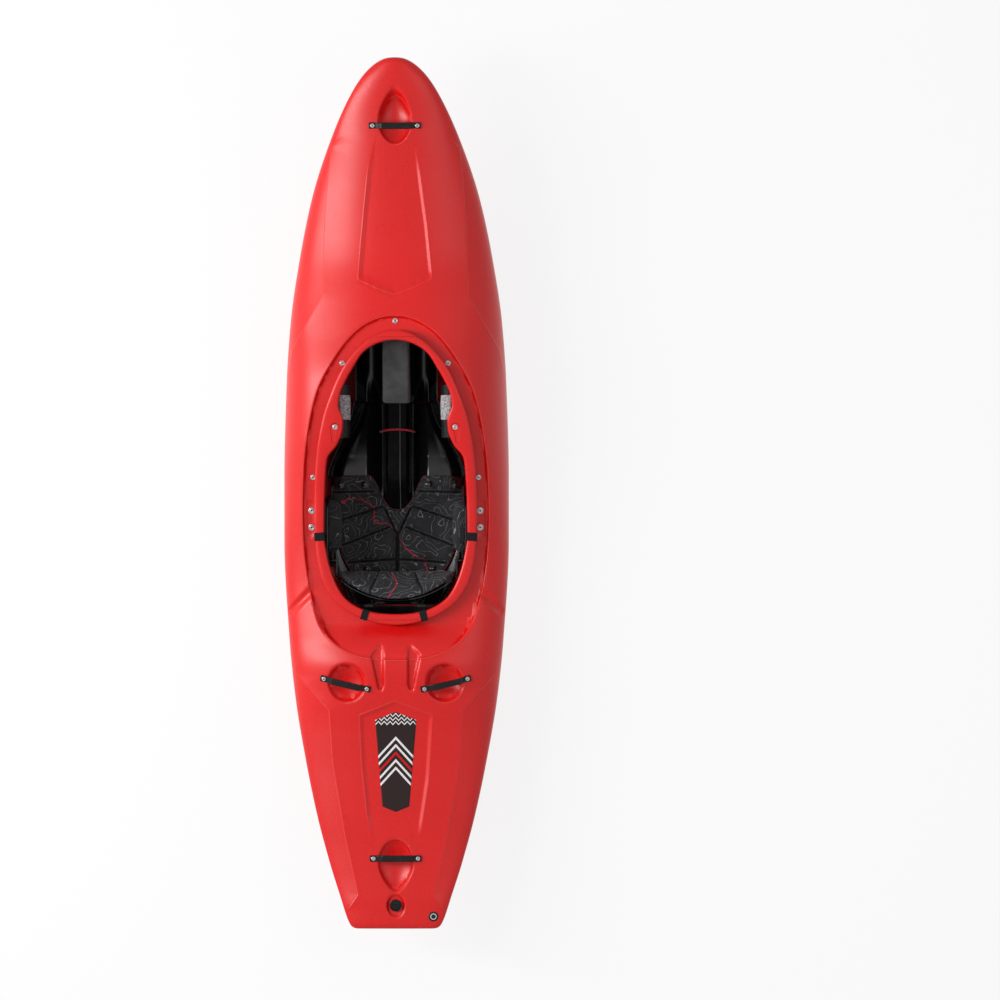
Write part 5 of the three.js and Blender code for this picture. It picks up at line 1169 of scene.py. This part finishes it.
def cushion_of_seat():
    """The seat cushion, crowned, with its channels pressed in."""
    turn = np.linspace(-np.pi / 2, np.pi / 2, 120)
    columns = 0.55 * np.sin(turn) + 0.45 * np.linspace(-1, 1, 120)
    rows = (1 - np.cos(np.linspace(0, np.pi, 100))) / 2 * 0.5 + np.linspace(0, 1, 100) * 0.5
    row, column = np.meshgrid(rows, columns, indexing="ij")
    x, y, edge = pad_point(row, column)
    crown = CUSHION_CROWN * np.sqrt(np.maximum(0.0, 1 - edge ** 5))
    seam = seam_distance(x, y)
    puff = CUSHION_PUFF * (1 - np.exp(-np.minimum(seam, 0.03) / 0.011)) * (1 - edge ** 8)
    groove = CHANNEL_DEPTH * np.exp(-(seam / 0.0042) ** 2) * (1 - edge ** 10)
    pan = pan_top(x, y)
    top = pan + CUSHION_LIFT + crown + puff - groove
    low = pan + 0.0008 + 0.006 * np.maximum(0, edge - 0.9)
    made = piece("seat_cushion", *plate(grid_of(x, y, top), grid_of(x, y, low)), "seat",
                 FABRIC_PRINT, "pad_fabric")
    outwards(made)
    spots = points_of(made)
    mark(made, "seam", seam_distance(*spots.T[:2]))
    swelled(made, 0.006, 0.005, lambda x, y, z: z < pan_top(x, y) + 0.007, seat_give)
    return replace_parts(made, "seat_pad")


def node_tree(name, inputs, parts, wires):
    """A node tree from its named inputs, nodes and wires. It ends in one mesh of one material."""
    tree = bpy.data.node_groups.new(name, "GeometryNodeTree")
    for label, kind in inputs.items():
        tree.interface.new_socket(label, in_out="INPUT", socket_type="NodeSocket" + kind)
    tree.interface.new_socket("Result", in_out="OUTPUT", socket_type="NodeSocketGeometry")
    nodes = {"given": tree.nodes.new("NodeGroupInput"), "end": tree.nodes.new("NodeGroupOutput")}
    parts = {**parts, "whole": ("GeometryNodeRealizeInstances", {}, {}),
             "paint": ("GeometryNodeSetMaterial", {}, {})}
    for label, (kind, settings, values) in parts.items():
        nodes[label] = tree.nodes.new(kind)
        for key, value in settings.items():
            setattr(nodes[label], key, value)
        for key, value in values.items():
            nodes[label].inputs[key].default_value = value
    for source, out, target, into in wires + [
            ("whole", "Geometry", "paint", "Geometry"), ("given", "Finish", "paint", "Material"),
            ("paint", "Geometry", "end", "Result")]:
        tree.links.new(nodes[source].outputs[out], nodes[target].inputs[into])
    return tree


# A tube along a path of points
TUBE = node_tree(
    "tube_along_path", {"Path": "Geometry", "Radius": "Float", "Sides": "Int", "Finish": "Material"},
    {"curve": ("GeometryNodeMeshToCurve", {}, {}),
     "ring": ("GeometryNodeCurvePrimitiveCircle", {}, {}),
     "sweep": ("GeometryNodeCurveToMesh", {}, {"Fill Caps": True})},
    [("given", "Path", "curve", "Mesh"), ("given", "Radius", "ring", "Radius"),
     ("given", "Sides", "ring", "Resolution"), ("curve", "Curve", "sweep", "Curve"),
     ("ring", "Curve", "sweep", "Profile Curve"), ("sweep", "Mesh", "whole", "Geometry")])
# One small part set down on every point, turned to its axis
SCATTER = node_tree(
    "parts_on_points",
    {"Points": "Geometry", "Part": "Object", "Size": "Float", "Finish": "Material"},
    {"shape": ("GeometryNodeObjectInfo", {}, {}),
     "spread": ("GeometryNodeInstanceOnPoints", {}, {}),
     "axis": ("GeometryNodeInputNamedAttribute", {"data_type": "FLOAT_VECTOR"}, {"Name": "axis"}),
     "turn": ("FunctionNodeAlignRotationToVector", {"axis": "Z"}, {})},
    [("given", "Points", "spread", "Points"), ("given", "Part", "shape", "Object"),
     ("given", "Size", "spread", "Scale"), ("shape", "Geometry", "spread", "Instance"),
     ("axis", "Attribute", "turn", "Vector"), ("turn", "Rotation", "spread", "Rotation"),
     ("spread", "Instances", "whole", "Geometry")])


def grown_by(made, tree, **inputs):
    """Runs a node tree on a piece, with its inputs set by name, and keeps the mesh."""
    grower = made.modifiers.new(tree.name, "NODES")
    grower.node_group = tree
    for item in tree.interface.items_tree:
        if item.in_out == "INPUT" and item.name in inputs:
            grower[item.identifier] = inputs[item.name]
    return baked(made)


def tube(name, path, radius, closed, body, material, sides=10):
    count = len(path)
    edges = [(i, i + 1) for i in range(count - 1)] + ([(count - 1, 0)] if closed else [])
    made = placed(name, mesh_of(name, path, edges))
    grown_by(made, TUBE, Radius=radius, Sides=sides, Finish=material)
    return riding(made, body)


def lathe(profile, sides, hex_socket=None):
    """A turned part from a profile of radii and heights, closed at its ends."""
    points, faces = [], []
    for radius, height in profile:
        for i in range(sides):
            turn = 2 * math.pi * i / sides
            reach = radius
            if hex_socket and radius <= hex_socket:
                reach = radius / math.cos((turn % (math.pi / 3)) - math.pi / 6) * math.cos(math.pi / 6)
            points.append((reach * math.cos(turn), reach * math.sin(turn), height))
    faces += quads(len(profile), sides, round_columns=True)
    faces.append(tuple(reversed(range(sides))))
    faces.append(tuple((len(profile) - 1) * sides + i for i in range(sides)))
    return points, faces


def template(name, points, faces):
    """A shape that the node trees set down in many places. It isn't a piece itself."""
    return bpy.data.objects.new(name, mesh_of(name, points, (), faces))


def scattered(name, part, places, body, material):
    """Copies of a part at places, each with its axis."""
    spots, axes = zip(*places)
    mesh = mesh_of(name, spots)
    made = placed(name, mesh)
    axis = mesh.attributes.new("axis", "FLOAT_VECTOR", "POINT")
    axis.data.foreach_set("vector", np.array(axes, np.float32).ravel())
    grown_by(made, SCATTER, Part=part, Size=1.0, Finish=material)
    return riding(made, body)


def soft_copy(name, node, body, material, slot, under=None, **how):
    """A rounded piece in the form of a plain solid, with its corners and edges softened."""
    made = placed(name, frame["nodes"][node].data.copy())
    made.data.materials.clear()
    made.data.materials.append(material)
    reworked(made, bmesh.ops.remove_doubles, verts="verts", dist=0.00001)
    finish(made, **how)
    if under:
        spots = points_of(made)
        spots[:, 2] = np.minimum(spots[:, 2], deck_top(spots[:, 0], spots[:, 1]) - under)
        move_points(made, spots)
    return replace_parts(riding(made, body), node)


HIP_Y, HIP_Z, HIP_LONG, HIP_HIGH, HIP_THICK = -0.096, 0.124, 0.080, 0.056, 0.035


def hip_cushion(name, side):
    """The cushion on a cheek: flat on it, full towards the hip, and clear of the seat cushion."""
    nearer = 0.5 + 0.5 * np.sin(np.linspace(0.08, np.pi / 2, 18))
    depth = np.concatenate([np.linspace(0.0, 0.5, 8), nearer])[:, None]
    turn = np.linspace(0, 2 * np.pi, 73)[:-1]
    c, s = np.cos(turn), np.sin(turn)
    q = np.maximum(0.0, (depth - 0.5) / 0.5)
    size = 0.62 + 0.38 * np.sqrt(np.maximum(0.0, 1 - q ** 2.6))
    size = size * (1 + 0.02 * np.sin(np.pi * np.minimum(1.0, depth / 0.6)))
    y = HIP_Y + HIP_LONG * size * np.sign(c) * np.abs(c) ** 0.6
    z = HIP_Z + HIP_HIGH * size * np.sign(s) * np.abs(s) ** 0.6
    x = CHEEK_INNER - 0.0004 - HIP_THICK * depth - 0.004 * q * (1 - ((y - HIP_Y) / HIP_LONG) ** 2)
    floor = pan_top(np.minimum(x, 0.208), y) + np.where(x < 0.209, 0.0295, 0.002)
    rings = grid_of(side * x, y, np.maximum(z, floor))
    count, size = rings.shape[:2]
    faces = quads(count, size, round_columns=True)
    faces += [tuple(range(size)), tuple((count - 1) * size + i for i in reversed(range(size)))]
    made = piece(f"hip_cushion_{name}", rings, faces, "seat", FABRIC_PRINT, "pad_fabric")
    recalculated(made)
    mark(made, "seam", np.full(len(made.data.vertices), 0.1))
    swelled(made, 0.005, 0.004, lambda x, y, z: np.abs(x) > CHEEK_INNER - 0.008,
            lambda x, y, z: ease(0.0, 0.02, z - pan_top(np.minimum(np.abs(x), 0.205), y) - 0.028))
    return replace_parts(made, f"hip_pad_{name}")


def band_line(x):
    """The back band's face, bowed back between its ends."""
    return BAND_FACE - 0.001 - BAND_BOW * (1 - np.abs(x / BAND_HALF) ** 2.1)


def band_seam(x, z):
    """Signed distance to the seams between the cushion's three panels, which lean outwards."""
    return np.abs(x) - (BAND_PANEL + 0.03 * ((z - 0.1285) / 0.123 - 0.5))


def back_cushion():
    """The crescent cushion on the back band, in three panels."""
    u, v = np.meshgrid(np.sin(np.linspace(-np.pi / 2, np.pi / 2, 110)), np.linspace(0, 1, 46))
    x = BAND_HALF * u
    rear = band_line(x)
    taper = np.sqrt(np.maximum(0.0, 1 - np.abs(u) ** 6))
    z = BAND_Z + 0.0615 * (0.55 + 0.45 * taper) * np.sin((v - 0.5) * np.pi)
    lean = np.clip((z - 0.128) / 0.125, 0.0, 1.0)
    face = np.minimum(BAND_FACE, rear + 0.0100 + (1 - lean) ** 1.2 * (BAND_FACE - rear))
    crown = np.sqrt(np.maximum(0.0, 1 - np.abs(2 * v - 1) ** 4)) * (0.35 + 0.65 * taper)
    seam = np.abs(np.abs(x) - (BAND_PANEL + 0.03 * (v - 0.5)))
    groove = 0.0045 * np.exp(-(seam / 0.0035) ** 2)
    front = rear + 0.0016 + (face + 0.010 - rear) * (0.25 + 0.75 * crown) - groove
    outer = grid_of(x, front, z)
    inner = grid_of(x, rear + 0.0010, BAND_Z + (z - BAND_Z) * 0.97)
    made = piece("back_cushion", *plate(outer, inner), "back_rest", FABRIC_PRINT, "pad_fabric")
    outwards(made)
    spots = points_of(made)
    mark(made, "seam", np.abs(band_seam(spots[:, 0], spots[:, 2])))
    swelled(made, 0.005, 0.005, lambda x, y, z: y < band_line(x) + 0.004,
            lambda x, y, z: 1 - np.exp(-(band_seam(x, z) / 0.008) ** 2))
    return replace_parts(made, "back_pad")


def pad_piping():
    """The dark red edging round the seat cushion."""
    columns = np.linspace(-0.995, 0.995, 90)
    rows = np.linspace(0.01, 0.985, 60)
    round_edge = ([(0.006, c) for c in columns] + [(r, 0.997) for r in rows]
                  + [(0.994, c) for c in columns[::-1]] + [(r, -0.997) for r in rows[::-1]])
    x, y, _ = pad_point(*np.array(round_edge).T)
    path = np.column_stack([x, y, pan_top(x, y) + 0.0088])
    return tube("seat_cushion_piping", path, 0.0013, True, "seat", PIPING, 8)


def deck_patch(name, rows, material):
    """A thin printed patch lying on the deck, from places down its middle and half widths there."""
    y, half = np.array(rows).T[:, :, None]
    x = half * np.linspace(-1, 1, 25)
    top = grid_of(x, y, deck_top(x, y) + 0.0006)
    made = piece(name, *plate(top, top - (0, 0, 0.0003)), "boat", material, "red_plastic")
    return outwards(made)


def leg_tray(name, side):
    """The seat's front: a trough beside the foam pillar and a wall that flares out to the knees."""
    line = [(0.0425, 0.100), (0.0450, 0.098), (0.0490, 0.080), (0.0540, 0.040), (0.0620, 0.014),
            (0.0780, 0.006), (0.0980, 0.008), (0.1100, 0.022), (0.1180, 0.055), (0.1240, 0.110),
            (0.1270, 0.165)]
    px, pz = (smoothed(values, 5) for values in resampled(line, 50))
    start = float(pan_half(PAN_FRONT)) + 0.0012
    base = float(keel_z(PAN_FRONT + 0.026)) + WALL + 0.022
    flare = base + 0.164 * (np.maximum(0.0, px - start) / (0.128 - start)) ** 1.875
    meeting = pan_top(np.minimum(px, start - 0.0015), np.full(50, PAN_FRONT - 0.001))
    first = np.where(px < start, meeting, flare)
    y = np.linspace(0.2962, 0.600, 46)[:, None]
    floor = keel_z(y + 0.026) + WALL + 0.008 + pz
    tray = grid_of(side * px, y, first + (floor - first) * ease(0.305, 0.400, y))
    outer = curve_through([(0, 0.128), (0.2, 0.141), (0.42, 0.163), (0.66, 0.186), (1, 0.203)])
    q = np.linspace(0, 1, 44)[:, None]
    y, rise = 0.2958 - 0.236 * q, np.linspace(0, 1, 30)
    inner = pan_half(y) + 0.0005
    x = inner + (np.maximum(outer(q), inner + 0.003) - inner) * rise ** 0.8
    z = keel_z(y + 0.026) + WALL + 0.022 + (0.164 - 0.020 * q) * rise ** 1.5
    wing = grid_of(side * x, y, z)
    thick = np.array((side * 0.003, 0.0, -0.0035))
    blocks = [plate(grid, grid + thick) for grid in (tray, wing)]
    made = piece(f"leg_tray_{name}", *join(blocks), "seat", SEAT_BLACK, "seat_plastic")
    return recalculated(made)


def rear_black_sheet():
    """A low, wavy black sheet on the seat behind the back band."""
    x, y = np.meshgrid(np.linspace(-0.150, 0.150, 41), np.linspace(-0.3485, -0.408, 14))
    z = 0.104 + 0.020 * (x / 0.15) ** 2 + 0.012 * np.sin((y + 0.3485) * 26.0) + 0.004 * np.cos(x * 60.0)
    top = grid_of(x, y, z)
    made = piece("seat_rear_shelf", *plate(top, top - (0, 0, 0.004)), "seat", BLACK, "black_plastic")
    return recalculated(made)


def plug_grip():
    """The bar across the drain plug by which it is turned, and the ring round it."""
    bar = rounded_outline(box_of(0.0150, 0.0030), 0.0028)
    points, faces = extruded(bar, 2, 0.3014, 0.3042)
    points = points + (0.0, DRAIN_Y, 0.0)
    made = piece("drain_plug_grip", points, faces, "plug", HANDLE_BLACK, "black_plastic")
    finish(recalculated(made), bevel=(0.0009, 2))
    ring = [(x, y, 0.3018) for x, y in round_of(0.0166, 0.0, DRAIN_Y, 64)]
    tube("drain_plug_ring", ring, 0.0010, True, "plug", HANDLE_BLACK, 8)


def stern_graphic():
    """The printed panel on the stern, a long shield."""
    ys, halves = np.array([(712.1, 0.05), (720.3, 20.6), (807.1, 13.4), (812.5, 0.05)]).T
    at = np.unique(np.concatenate([ys, np.linspace(712.1, 812.5, 70)]))
    rows = [(deck_place(0, y)[1], PIXEL * float(np.interp(y, ys, halves))) for y in at]
    return deck_patch("stern_graphic", rows, GRAPHIC)


def dot_at_stern():
    """A plain round mark at the stern's corner."""
    cx, cy = deck_place(433.3, 916.8)
    sides = 48
    angle = np.linspace(0, 2 * np.pi, sides + 1)[:-1]
    r = np.array([0.0155, 0.0152, 0.0115, 0.0080, 0.0040, 0.0008])[:, None]
    x, y = cx + r * np.cos(angle), cy + r * np.sin(angle)
    rings = grid_of(x, y, deck_top(x, y) + np.where(r == 0.0155, 0.0, 0.0007))
    faces = quads(len(r), sides, round_columns=True)
    faces += [tuple((len(r) - 1) * sides + i for i in range(sides)), tuple(reversed(range(sides)))]
    made = piece("stern_dot", rings, faces, "boat", DOT, "black_plastic")
    return recalculated(made)


def rim_station(x, y):
    """The rim's inner edge next to a place, the way across the rim there, and the rim's width."""
    near = int(np.argmin(np.hypot(*(opening_outline - (x, y)).T)))
    count = len(opening_outline)
    run = opening_outline[(near + 3) % count] - opening_outline[near - 3]
    way = np.array([run[1], -run[0]]) / np.hypot(*run)
    far = rim_outline - opening_outline[near]
    if way @ (rim_outline[near] - opening_outline[near]) < 0:
        way = -way
    width = float((far @ way)[np.argmin(np.abs(far @ (-way[1], way[0])) + 9.0 * (far @ way < 0))])
    return opening_outline[near], way, width


def strap_loop(name, x, y, width, drop=0.042):
    """A webbing loop that is folded over the rim."""
    spot, way, reach = rim_station(x, y)
    along = np.array([-way[1], way[0]])
    path = np.array([
        (-0.0016, -drop), (-0.0016, -0.020), (-0.0016, -0.003), (-0.0006, 0.0005), (0.002, 0.0014),
        (reach / 2, 0.0010), (reach - 0.002, 0.0014), (reach + 0.0008, 0.0005),
        (reach + 0.0016, -0.003), (reach + 0.0016, -0.019)])
    normal = normals_of(path)
    grids = []
    for offset in (0.0, 0.0014):
        rows = []
        for w in np.linspace(-0.5, 0.5, 13):
            shift = spot + along * w * width
            line = path + normal * (offset + 0.0002 * math.cos(w * 40))
            px, py = shift[0] + way[0] * line[:, 0], shift[1] + way[1] * line[:, 0]
            rows.append(np.column_stack([px, py, rim_top_z(py) + line[:, 1]]))
        grids.append(np.array(rows))
    made = piece(name, *plate(grids[1], grids[0]), "boat", WEBBING, "pad_fabric")
    return finish(outwards(made), rounds=1)


def ribbon(name, path, across, thickness, body, material, slot):
    """A flat strap along a path, with its width laid along one direction."""
    path, across = np.array(path, float), np.array(across, float)
    tangent = np.gradient(path, axis=0)
    normal = np.cross(tangent, across)
    normal /= np.linalg.norm(normal, axis=1)[:, None]
    grids = [np.array([path + normal * offset + across * w for w in np.linspace(-0.5, 0.5, 5)])
             for offset in (thickness / 2, -thickness / 2)]
    made = piece(name, *plate(*grids), body, material, slot)
    return finish(outwards(made), rounds=1)


def band_straps():
    """The two straps that hang behind the back band, each with its buckle."""
    run = [(0.98, -0.350, 0.244), (0.97, -0.348, 0.242), (0.95, -0.345, 0.239), (0.90, -0.340, 0.232),
           (0.85, -0.337, 0.216), (0.82, -0.336, 0.196), (0.8, -0.336, 0.176)]
    block = rounded_outline(box_of(0.014, 0.010), 0.003)
    for name, x in (("starboard", 0.088), ("port", -0.092)):
        path = [(x * share, y, z) for share, y, z in run]
        ribbon(f"band_strap_{name}", path, (0.020, 0.0, 0.0), 0.0016, "back_rest", WEBBING,
               "pad_fabric")
        points, faces = extruded(block, 1, -0.004, 0.004)
        points = points + (x * 0.93, -0.3455, 0.232)
        made = piece(f"band_buckle_{name}", points, faces, "back_rest", BLACK, "black_plastic")
        finish(recalculated(made), bevel=(0.0012, 2))


FLEECE_GAP, FLEECE_THICK, HOOK_LEAN = 0.0006, 0.0045, 0.19973


def fleece_patch(name, side):
    """The fleece on a thigh hook's inner edge, which leans with the deck."""
    base = float(trough_floor(BRACE_BOLT_X, BRACE_BOLT_Y)) - WALL - 0.007
    form = np.array([(0.1420, -0.024), (0.1440, -0.019), (0.1470, -0.0145), (0.1510, -0.0095),
                     (0.1560, -0.0055), (0.1620, -0.0012), (0.1680, 0.0), (0.1740, 0.0)])
    rows, count = 60, 44
    (lx, lz), (nx, nz) = resampled(form, count), resampled(normals_of(form), count)
    random = np.random.default_rng(5)
    y = np.linspace(0.236, 0.312, rows)[:, None]
    end = np.sin(np.pi * np.arange(rows) / (rows - 1))[:, None] ** 0.35
    edge = np.sin(np.pi * np.linspace(0, 1, count)) ** 0.35
    grids = []
    for offset, rough in ((FLEECE_THICK, random.normal(0.0, 0.0005, (rows, count))), (FLEECE_GAP, 0.0)):
        reach = FLEECE_GAP + (offset - FLEECE_GAP + rough) * end * edge
        level = base + lz + nz * reach + HOOK_LEAN * (y - BRACE_BOLT_Y)
        grids.append(grid_of(side * (lx + nx * reach), y, level))
    made = piece(f"thigh_fleece_{name}", *plate(*grids), f"brace_{name}", FLEECE, "pad_fabric")
    outwards(made)
    return made


def cord_over_ridge():
    """The red cord laid over the seat's ridge, with both ends going down beside it."""
    ridge = float(pan_top(0.0, 0.204))
    half = [(0.0, 0.0043), (0.029, 0.0043), (0.041, 0.00215), (0.054, -0.020), (0.054, -0.040)]
    route = np.array([(-x, z) for x, z in half[1:]][::-1] + half)
    x, z = (smoothed(values, 6) for values in resampled(route, 60))
    path = np.column_stack([x, 0.202 + 0.007 * (1 - (x / 0.054) ** 2), ridge + 0.0006 + z])
    made = tube("red_lifter_cord", path, 0.0034, False, "seat", CORD, 16)
    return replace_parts(made, "lifter_cord")


def bolt_of(node):
    """Where a bolt's head sits, and which way it points, read from its solid."""
    spots = np.unique(points_of(frame["nodes"][node]).round(7), axis=0)
    spread = spots - spots.mean(axis=0)
    axis = np.linalg.svd(spread, full_matrices=False)[2][0]
    along = spread @ axis
    radius = np.linalg.norm(spread - along[:, None] * axis, axis=1)
    if radius[along > 0].max() < radius[along < 0].max():
        axis, along = -axis, -along
    top = spots.mean(axis=0) + axis * along.max()
    centre = spots[radius > radius.max() - 1e-4].mean(axis=0)
    return centre - axis * ((centre - top) @ axis), axis, float(np.ptp(along))


def bolts(name, nodes, head, rise, shank):
    """One kind of bolt with its washer, set at each of its places."""
    seats = [bolt_of(node) for node in nodes]
    length = min(along for _, _, along in seats) - rise - 0.0004
    outline = [(0.97, -0.0002 / rise), (1, 0.12), (1, 0.30), (0.96, 0.42), (0.74, 0.44), (0.71, 0.16),
               (0.64, 0.16), (0.62, 0.80), (0.55, 0.98), (0.36, 1), (0.33, 0.95), (0.32, 0.40)]
    profile = [(shank, -length), (shank, -0.0002)] + [(r * head, z * rise) for r, z in outline]
    profile = [(r, z - rise) for r, z in profile]
    part = template(name + "_part", *lathe(profile, 36, 0.34 * head))
    places = [(top, axis) for top, axis, _ in seats]
    made = scattered(name, part, places, "boat", STEEL)
    recalculated(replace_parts(made, *nodes))
    hexagon = [(0.30 * head, -0.9 * rise), (0.30 * head, -0.30 * rise)]
    hole = template(name + "_socket_part", *lathe(hexagon, 6))
    recalculated(scattered(name + "_sockets", hole, places, "boat", BLACK))


def all_bolts():
    both, ends = ("starboard", "port"), ("front", "rear")
    screws = [f"rim_screw_{k}_{s}" for k in ("knee", "hip") for s in both]
    bolts("rim_screws", ["rim_screw_front"] + screws, 0.0080, 0.0026, 0.0025)
    bolts("seat_bolts", [f"seat_bolt_{e}_{s}" for e in ends for s in both], 0.010, 0.004, 0.004)
    bolts("brace_bolts", [f"thigh_brace_bolt_{s}" for s in both], 0.008, 0.003, 0.004)
    handles = [f"{w}_handle_bolt_{e}" for w in ("bow", "stern", *both) for e in "ab"]
    bolts("handle_bolts", handles, 0.0065, 0.003, 0.003)
    bolts("rail_bolts", [f"rail_bolt_{e}_{s}" for e in ends for s in both], 0.0095, 0.003, 0.004)


def handle_bar(where):
    soft_copy(f"{where}_handle_bar", f"{where}_grab_handle", "boat", HANDLE_BLACK, "handle_black",
              voxel=0.0012, smooth=3)


def snap_buttons():
    """The snaps that hold the seat cushion down."""
    dome = [(0.0060, -0.003), (0.0112, 0.0), (0.0116, 0.0010), (0.0102, 0.0019), (0.0072, 0.0022),
            (0.0062, 0.0042), (0.0042, 0.0054), (0.0020, 0.0059)]
    part = template("snap_part", *lathe(dome, 28))
    places = [((x, y, float(pan_top(x, y)) + 0.0262), (0, 0, 1)) for x, y in BUTTONS]
    return recalculated(scattered("snap_buttons", part, places, "seat", SNAP_BLACK))


seat_moulding()
cushion_of_seat()
pad_piping()
snap_buttons()
for side_name, side in (("starboard", 1), ("port", -1)):
    hip_cushion(side_name, side)
    leg_tray(side_name, side)
    fleece_patch(side_name, side)
    brace = f"brace_{side_name}"
    soft_copy(f"thigh_hook_{side_name}", f"thigh_brace_{side_name}", brace, BLACK, "black_plastic",
              voxel=0.0016, smooth=3)
    pad = soft_copy(f"thigh_cushion_{side_name}", f"thigh_pad_{side_name}", brace, FLEECE,
                    "pad_fabric", bevel=(0.0015, 3))
    handle_bar(side_name)
back_cushion()
cord_over_ridge()
all_bolts()
band_straps()
for where, px, py, width in (
        ("side_port", 319.8, 536.5, 0.026), ("side_starboard", 470.8, 536.0, 0.026),
        ("rear_port", 365.7, 613.3, 0.022), ("rear_starboard", 423.7, 613.3, 0.022)):
    strap_loop(f"rim_loop_{where}", *deck_place(px, py), width)
handle_bar("bow")
handle_bar("stern")
soft_copy("front_foam_pillar", "front_pillar", "boat", FOAM, "grey_foam", under=0.007, voxel=0.0035,
          smooth=6, bevel=(0.010, 4))
soft_copy("rear_foam_pillar", "rear_pillar", "boat", FOAM, "grey_foam", under=0.007, voxel=0.0055,
          smooth=4)
soft_copy("foot_foam", "foot_pad", "bulkhead", FOAM, "grey_foam", voxel=0.0035, smooth=6)
soft_copy("drain_cap", "drain_plug", "plug", HANDLE_BLACK, "black_plastic", bevel=(0.0008, 3))
plug_grip()
rear_black_sheet()
stern_graphic()
dot_at_stern()


# The floor, the light and the pale background
def floor_paint():
    """A pale floor that reads white to the camera and still keeps the object's shadow."""
    p = Paint("floor", Specular_IOR_Level=0.0)
    p.shader.inputs["Base Color"].default_value = (0.9, 0.9, 0.9, 1.0)
    p.shader.inputs["Roughness"].default_value = 1.0
    glow = p.node("Emission", {}, {"Color": (1.0, 1.0, 1.0, 1.0), "Strength": 1.0})
    blend = p.node("MixShader", {}, {0: p.seen() * 0.84, 1: Value(p, p.shader.outputs[0]), 2: glow})
    p.put(p.tree.nodes["Material Output"].inputs["Surface"], blend)
    return p.material


FLOOR_HALF, FLOOR_DROP, SOFT_LIGHT = 15, 0.001, 0.41
square = [(x, y, 0.0) for x, y in box_of(FLOOR_HALF, FLOOR_HALF)]
floor_mesh = mesh_of("floor", square, (), [(0, 1, 2, 3)])
floor_mesh.materials.append(floor_paint())
floor = placed("floor", floor_mesh)
floor.location.z = -FLOOR_DROP

world = bpy.data.worlds.new("world")
scene.world = world
world.use_nodes = True
background = world.node_tree.nodes["Background"]
background.inputs["Color"].default_value = (1.0, 1.0, 1.0, 1.0)
rays = world.node_tree.nodes.new("ShaderNodeLightPath")
level = None
for ray in ("Is Camera Ray", "Is Glossy Ray", "Is Transmission Ray"):
    step = world.node_tree.nodes.new("ShaderNodeMath")
    step.operation = "MAXIMUM"
    step.inputs[1].default_value = SOFT_LIGHT
    world.node_tree.links.new(rays.outputs[ray], step.inputs[0])
    if level:
        world.node_tree.links.new(level, step.inputs[1])
    level = step.outputs[0]
world.node_tree.links.new(level, background.inputs["Strength"])


def lamp(name, place, size, power):
    """A soft box turned to the boat's middle."""
    data = bpy.data.lights.new(name, "AREA")
    data.shape, data.energy = "RECTANGLE", power
    data.size, data.size_y = size
    made = bpy.data.objects.new(name, data)
    made.location = place
    made.rotation_euler = (Vector((0, 0, 0.2)) - Vector(place)).to_track_quat("-Z", "Y").to_euler()
    put_in_scene(made)


lamp("key", (-4.2, 0.5, 3.4), (1.0, 5.0), 280)
lamp("fill", (3.0, 0.3, 5.0), (1.6, 3.0), 24)

scene.view_settings.view_transform = "Standard"
FINISHES = {
    "red_plastic": RED, "black_plastic": BLACK, "seat_plastic": SEAT_BLACK,
    "handle_black": HANDLE_BLACK, "pad_fabric": FABRIC, "grey_foam": FOAM, "steel": STEEL,
    "rail_metal": STEEL, "rubber": RUBBER, "red_cord": CORD}
for name, node in frame["nodes"].items():
    slot_name = next(part["material_slot"] for part in frame["record"]["subparts"]
                     if part["node"] == name)
    for spot in node.material_slots:
        spot.material = FINISHES[slot_name]
